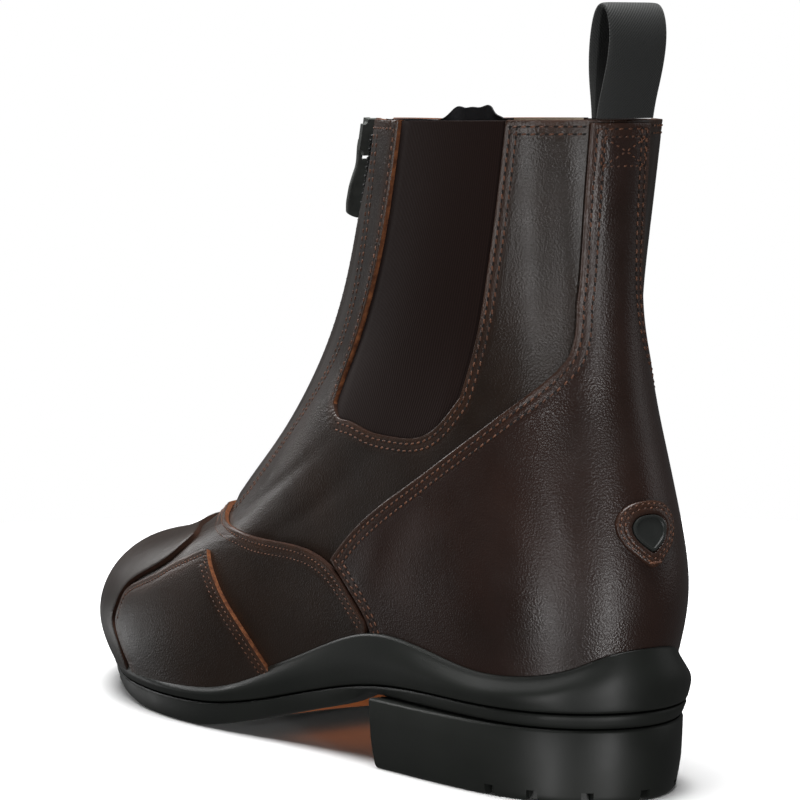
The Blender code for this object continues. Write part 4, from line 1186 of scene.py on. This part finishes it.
def make_heel():
    fine = np.linspace(0, 0.3, 400)
    end = float(np.interp(HEEL_BREAST, outline(fine, 0.0)[:, 0], fine))
    turn = np.linspace(-end, end, 110)
    rings = []
    for height, grow in HEEL_SHAPE:
        back = outline(turn, grow)
        back[:, 1] *= 1 + HEEL_FLARE * (back[:, 0] - HEEL_BACK) / (HEEL_BREAST - HEEL_BACK)
        share = np.linspace(0, 1, 22)[1:-1, None]
        breast = back[-1] + (back[0] - back[-1]) * share
        breast[:, 0] -= BREAST_HOLLOW * np.sin(np.pi * share[:, 0])
        rings.append(level(np.concatenate([back, breast]), height))
    made = solid("heel", rings, "flat")
    work = bmesh.new()
    for x in HEEL_CUTS:
        half = half_width(x) - CUT_MARGIN
        block(work, (x - CUT_HALF, -half, -5), (x + CUT_HALF, half, CUT_DEPTH))
    for angle in HEEL_NOTCHES:
        turned = Matrix.Rotation(math.radians(180 - angle), 4, "Z")
        reach = float(np.interp(abs(math.sin(math.radians(angle))), (0, 1), NOTCH_REACH))
        block(work, (reach - 4.5, -1.6, -5), (reach + 9, 1.6, 3.0), turned)
    carve(made, work)
    paint(made, RUBBER)
    dress(made, ["heel_block"], "boot", 35)


# Zip


TAPE_HALF = 6.0
COIL_PITCH = 1.35
COIL_LIFT = 1.8
COIL_REACH = 2.0
COIL_THICK = 0.56
SLIDER_ROW = 0.985


def make_zip():
    across = np.linspace(-TAPE_HALF, TAPE_HALF, 9)
    rows = np.linspace(SLOT_FOOT - 0.003, 0.997, 90)
    row, side = np.meshgrid(rows, across, indexing="ij")
    points = skin(ridge_turn(row, side), row, 1.1 * below_collar(row) - 0.35)
    piece("zip_tape", points, grid_faces(*row.shape), [TAPE], nodes=["zip_chain"], slot="zip_tape",
          flat=np.stack([side, row * 230], -1))
    fine = np.linspace(ZIP_END + 0.026, 0.99, 400)
    ridge = skin(0.5, fine, COIL_LIFT)
    length = lengths(ridge)
    count = int(length[-1] / COIL_PITCH)
    places = np.interp((np.arange(count) + 0.5) * COIL_PITCH, length, fine)
    along = np.linspace(-1, 1, 7)
    angle = np.arange(8) / 8 * 2 * np.pi
    row, reach = np.meshgrid(places, np.sin(along * np.pi / 2) * COIL_REACH, indexing="ij")
    reach = reach + np.where(np.arange(count) % 2, 0.2, -0.2)[:, None]
    thick = (COIL_THICK * np.sqrt(np.clip(1 - along ** 4, 0.02, 1)))[None, :, None, None]
    centre = skin(ridge_turn(row, reach), row, COIL_LIFT - 0.32 * along ** 2)
    out = normal(0.5, places)[:, None, None]
    down = unit(surface(0.5, places - 0.004) - surface(0.5, places))[:, None, None]
    round_way = np.cos(angle)[:, None] * down * 0.95 + np.sin(angle)[:, None] * out
    points = centre[:, :, None] + thick * round_way
    one = grid_faces(7, 8, closed=True)
    faces = (one[None] + (np.arange(count) * 56)[:, None, None]).reshape(-1, 4)
    piece("zip_coil", points.reshape(-1, 3), faces, [COIL], nodes=["zip_chain"], slot="zip_tape", angle=60)


def slider_frame():
    """Axes at the slider in metres: across to the outer side, down the zip and out of the boot."""
    out = Vector(normal(0.5, SLIDER_ROW))
    down = Vector(surface(0.5, SLIDER_ROW - 0.01) - surface(0.5, SLIDER_ROW)).normalized()
    across = out.cross(down).normalized()
    across = -across if across.y < 0 else across
    out = (out - out.dot(down) * down).normalized()
    made = Matrix((across, down, out)).transposed().to_4x4()
    made.translation = Vector(surface(0.5, SLIDER_ROW)) * MM
    return made


TAB_AXIS = (1.6, 5.9)
TAB_TWIST = math.radians(-6)
TAB_HALF_THICK = 0.68
TAB_EYE = (1.5, 0.75, 5.7)
TAB_ROWS = ((-0.7, 3.2), (2.0, 3.3), (6.2, 2.9), (8.2, 2.9), (10.8, 3.5),
            (14.0, 4.1), (19.0, 4.3), (22.2, 3.8), (23.4, 2.6))


def make_tab():
    turned = slider_frame()
    axis = turned @ Vector((0, TAB_AXIS[0] * MM, TAB_AXIS[1] * MM))
    turned.translation = axis
    down = np.concatenate([np.linspace(-0.7, 0.0, 5), np.linspace(0.4, 21.0, 44), np.linspace(21.3, 23.4, 9)])
    half = smoothed(broken(TAB_ROWS, down), 3)
    half *= np.sqrt(np.clip(1 - np.clip((down - 21.4) / 2.05, 0, 1) ** 2.4, 0.05, 1))
    half *= np.sqrt(np.clip(1 - np.clip((-0.1 - down) / 0.75, 0, 1) ** 2, 0.25, 1)) ** 0.35
    angle = (np.arange(24) + 0.5) / 24 * 2 * np.pi
    rings = []
    for d, h in zip(down, half):
        twist = TAB_TWIST * float(np.interp(d, (5.8, 9.6), (0, 1)))
        wide = bulged(np.cos(angle), 0.35) * h
        thick = bulged(np.sin(angle), 0.5) * TAB_HALF_THICK
        hollow = np.clip((d - 10.5) / 1.5, 0, 1) * np.clip((22.0 - d) / 1.5, 0, 1)
        edge = np.clip((abs(wide) / h - 0.62) / 0.2, 0, 1)
        rib = np.exp(-(wide / 0.7) ** 2)
        thick = thick * (1 - 0.42 * hollow * (1 - np.maximum(edge, rib * 0.8)))
        ring = [(w * math.cos(twist) + t * math.sin(twist), d, t * math.cos(twist) - w * math.sin(twist))
                for w, t in zip(wide, thick)]
        rings.append([np.array(turned @ (Vector(p) * MM)) / MM for p in ring])
    made = solid("pull_tab", [np.array(ring) for ring in rings], "flat")
    work = bmesh.new()
    half_eye, start, stop = TAB_EYE
    block(work, (-half_eye, start, -3), (half_eye, stop, 3), turned)
    bmesh.ops.recalc_face_normals(work, faces=work.faces)
    carve(made, work)
    paint(made, METAL)
    dress(made, ["zip_pull_tab"], "pull_tab", 45)


def make_slider():
    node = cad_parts["zip_slider"]
    paint(node, METAL)
    soft = node.modifiers.new("soft_edges", "BEVEL")
    soft.width = 0.28 * MM
    soft.segments = 2
    soft.limit_method = "ANGLE"
    soft.angle_limit = math.radians(35)
    soft.harden_normals = False


def make_zip_guard():
    turn, up = np.meshgrid(np.linspace(0.455, 0.635, 110), np.linspace(0, 1, 60))
    row = np.minimum(0.56 + 0.44 * up / 0.9, 1.0)
    over = np.clip((up - 0.9) / 0.1, 0, 1)
    rise = 0.2 + 3.6 * np.clip((turn - 0.572) / 0.020, 0, 1) * np.clip((0.627 - turn) / 0.010, 0, 1)
    wave = np.sin(turn * 260) * 0.6 + np.sin(turn * 430 + 1.3) * 0.35 + np.sin(turn * 140 + 0.4) * 0.4
    bunch = np.clip((turn - 0.545) / 0.03, 0, 1) * np.clip((up - 0.7) / 0.3, 0, 1)
    points = skin(turn, row, -WALL - 1.0 + 0.75 * wave * bunch - 0.8 * bunch)
    points[..., 2] += over * rise * (1 + 0.28 * wave * bunch)
    sheet("zip_guard_cloth", points, points - normal(turn, row), GUARD_CLOTH, nodes=["zip_guard"],
          slot="zip_tape")


# Loop, insole and insert

LOOP_PATH = ((-29.7, 181.6), (-30.8, 187.0), (-32.9, 195.0), (-33.8, 203.0), (-32.4, 209.0),
             (-29.6, 211.2), (-26.9, 208.5), (-25.6, 201.0), (-25.9, 193.0), (-27.0, 186.5),
             (-27.75, 181.6))
LOOP_HALF = 9.5
LOOP_HALF_THICK = 0.7
LOOP_BOW = 0.021
LOOP_TOP = 211.9


def make_loop():
    path = np.array(LOOP_PATH)
    share, fine = np.linspace(0, 1, len(path)), np.linspace(0, 1, 120)
    middle = spline(share, path, fine)
    ahead, behind = np.minimum(fine + 1e-3, 1), np.maximum(fine - 1e-3, 0)
    along = unit(spline(share, path, ahead) - spline(share, path, behind))
    out = np.stack([-along[:, 1], along[:, 0]], 1)
    length = lengths(middle)
    angle = np.linspace(0, 2 * np.pi, 49)[:-1]
    side = bulged(np.cos(angle), 0.3) * LOOP_HALF
    shift = bulged(np.sin(angle), 0.5) * LOOP_HALF_THICK
    rings, flat = [], []
    for spot, way, reach in zip(middle, out, length):
        edge = spot + way * shift[:, None]
        fade = np.clip((LOOP_TOP - edge[:, 1]) / (LOOP_TOP - COLLAR_HEIGHT), 0, 1)
        x = edge[:, 0] + LOOP_BOW * fade * side ** 2
        rings.append(np.stack([x, side, edge[:, 1]], 1))
        flat.append(columns(side, np.full(48, reach)))
    piece("ribbon_loop", np.concatenate(rings), grid_faces(120, 48, closed=True), [RIBBON],
          nodes=["pull_loop"], slot="ribbon", flat=np.concatenate(flat), angle=60)


def make_inside():
    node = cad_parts["insole"]
    paint(node, SOCK)


def make_insert():
    """Coloured insert under the waist, which stands a little below the rubber."""
    share = np.linspace(-1, 1, 15)
    rings = []
    for x in np.linspace(44.9, 94.0, 18):
        inner, middle, outer, base = waist(x, 7.9)
        side = middle + share * np.where(share < 0, middle - inner, outer - middle)
        low = base - 1.5 * np.clip((93.0 - x) / 30, 0, 1) * (1 - abs(share) ** 10)
        under = columns(np.full(15, x), side, low)
        rings.append(np.concatenate([under, under[::-1] * (1, 1, 0) + (0, 0, base + 1.5)]))
    made = solid("orange_insert", rings, "flat")
    made.data.materials.append(ORANGE)
    dress(made, ["waist_insert"], "boot", 50)


# Stage

FLOOR_REACH = 0.5
ROOM_LIGHT = 0.075
CAMERA = (-725.0, 571.2, 192.24)
CAMERA_TURN = 35.53
CAMERA_DIP = 5.41
CAMERA_ROLL = -0.27
FOCAL_PIXELS = 3395.12
PICTURE = 800
LAMP_AIM = (0.06, 0.0, 0.09)

# Soft boxes: angle around the boot in degrees, distance, height and size in metres, power
LAMPS = (
    ("box_left", 109, 1.5, -0.35, (0.10, 1.5), 9.5),
    ("box_right", 163, 1.5, -0.30, (0.10, 1.5), 11),
    ("box_front", 14, 1.7, 0.85, (0.7, 0.7), 9),
    ("box_low", 12, 1.3, -0.20, (0.6, 0.3), 0.7),
    ("box_side", 246, 1.6, 0.45, (0.6, 0.9), 1.2),
    ("box_top", 60, 0.1, 1.6, (1.0, 1.0), 52),
)


def make_camera():
    turn, dip, roll = (math.radians(v) for v in (CAMERA_TURN, CAMERA_DIP, CAMERA_ROLL))
    ahead = Vector((math.cos(turn) * math.cos(dip), -math.sin(turn) * math.cos(dip), -math.sin(dip)))
    right = ahead.cross(Vector((0, 0, 1))).normalized()
    up = right.cross(ahead)
    right, up = right * math.cos(roll) + up * math.sin(roll), up * math.cos(roll) - right * math.sin(roll)
    data = bpy.data.cameras.new("camera")
    data.sensor_width = 36
    data.lens = FOCAL_PIXELS * 36 / PICTURE
    data.clip_start = 0.01
    made = add("camera", data)
    made.matrix_world = Matrix((right, up, -ahead)).transposed().to_4x4()
    made.location = Vector(CAMERA) * MM
    bpy.context.scene.camera = made


def lamp(name, azimuth, distance, height, size, power):
    """Soft box at an angle around the boot."""
    data = bpy.data.lights.new(name, "AREA")
    data.shape = "RECTANGLE"
    data.size, data.size_y = size
    data.energy = power
    made = add(name, data)
    angle = math.radians(azimuth)
    made.location = (LAMP_AIM[0] + distance * math.cos(angle), LAMP_AIM[1] + distance * math.sin(angle),
                     height)
    made.rotation_mode = "QUATERNION"
    made.rotation_quaternion = (Vector(LAMP_AIM) - made.location).to_track_quat("-Z", "Y")


def make_stage():
    mesh = bpy.data.meshes.new("floor")
    angle = np.arange(64) / 64 * 2 * np.pi
    rim = columns(0.09 + FLOOR_REACH * np.cos(angle), FLOOR_REACH * np.sin(angle), np.zeros(64))
    mesh.from_pydata(rim.tolist(), [], [list(range(64))])
    paper = Shader("pale_floor", (0.88, 0.88, 0.88), 0.9, Specular_IOR_Level=0.0)
    mesh.materials.append(paper.made)
    floor = add("floor", mesh)
    floor.visible_diffuse = False
    floor.visible_glossy = False
    floor.visible_shadow = False
    world = bpy.data.worlds.new("studio")
    world.use_nodes = True
    tree = world.node_tree
    paper = tree.nodes["Background"]
    paper.inputs["Color"].default_value = (1, 1, 1, 1)
    room = tree.nodes.new("ShaderNodeBackground")
    room.inputs["Color"].default_value = (1, 1, 1, 1)
    room.inputs["Strength"].default_value = ROOM_LIGHT
    seen = tree.nodes.new("ShaderNodeLightPath")
    choose = tree.nodes.new("ShaderNodeMixShader")
    tree.links.new(seen.outputs["Is Camera Ray"], choose.inputs[0])
    tree.links.new(room.outputs[0], choose.inputs[1])
    tree.links.new(paper.outputs[0], choose.inputs[2])
    tree.links.new(choose.outputs[0], tree.nodes["World Output"].inputs["Surface"])
    bpy.context.scene.world = world
    for values in LAMPS:
        lamp(*values)
    bpy.context.scene.view_settings.view_transform = "Standard"


make_upper()
make_lining()
make_gussets()
make_vamp()
make_counter()
make_toe_cap()
make_guards()
make_badge()
make_sole_cup()
make_outsole()
make_heel()
make_zip()
make_slider()
make_tab()
make_zip_guard()
make_loop()
make_inside()
make_insert()
sewn_mesh("stitches")
pinhole_shade_mesh("needle_hole_painted_shades")
make_camera()
make_stage()
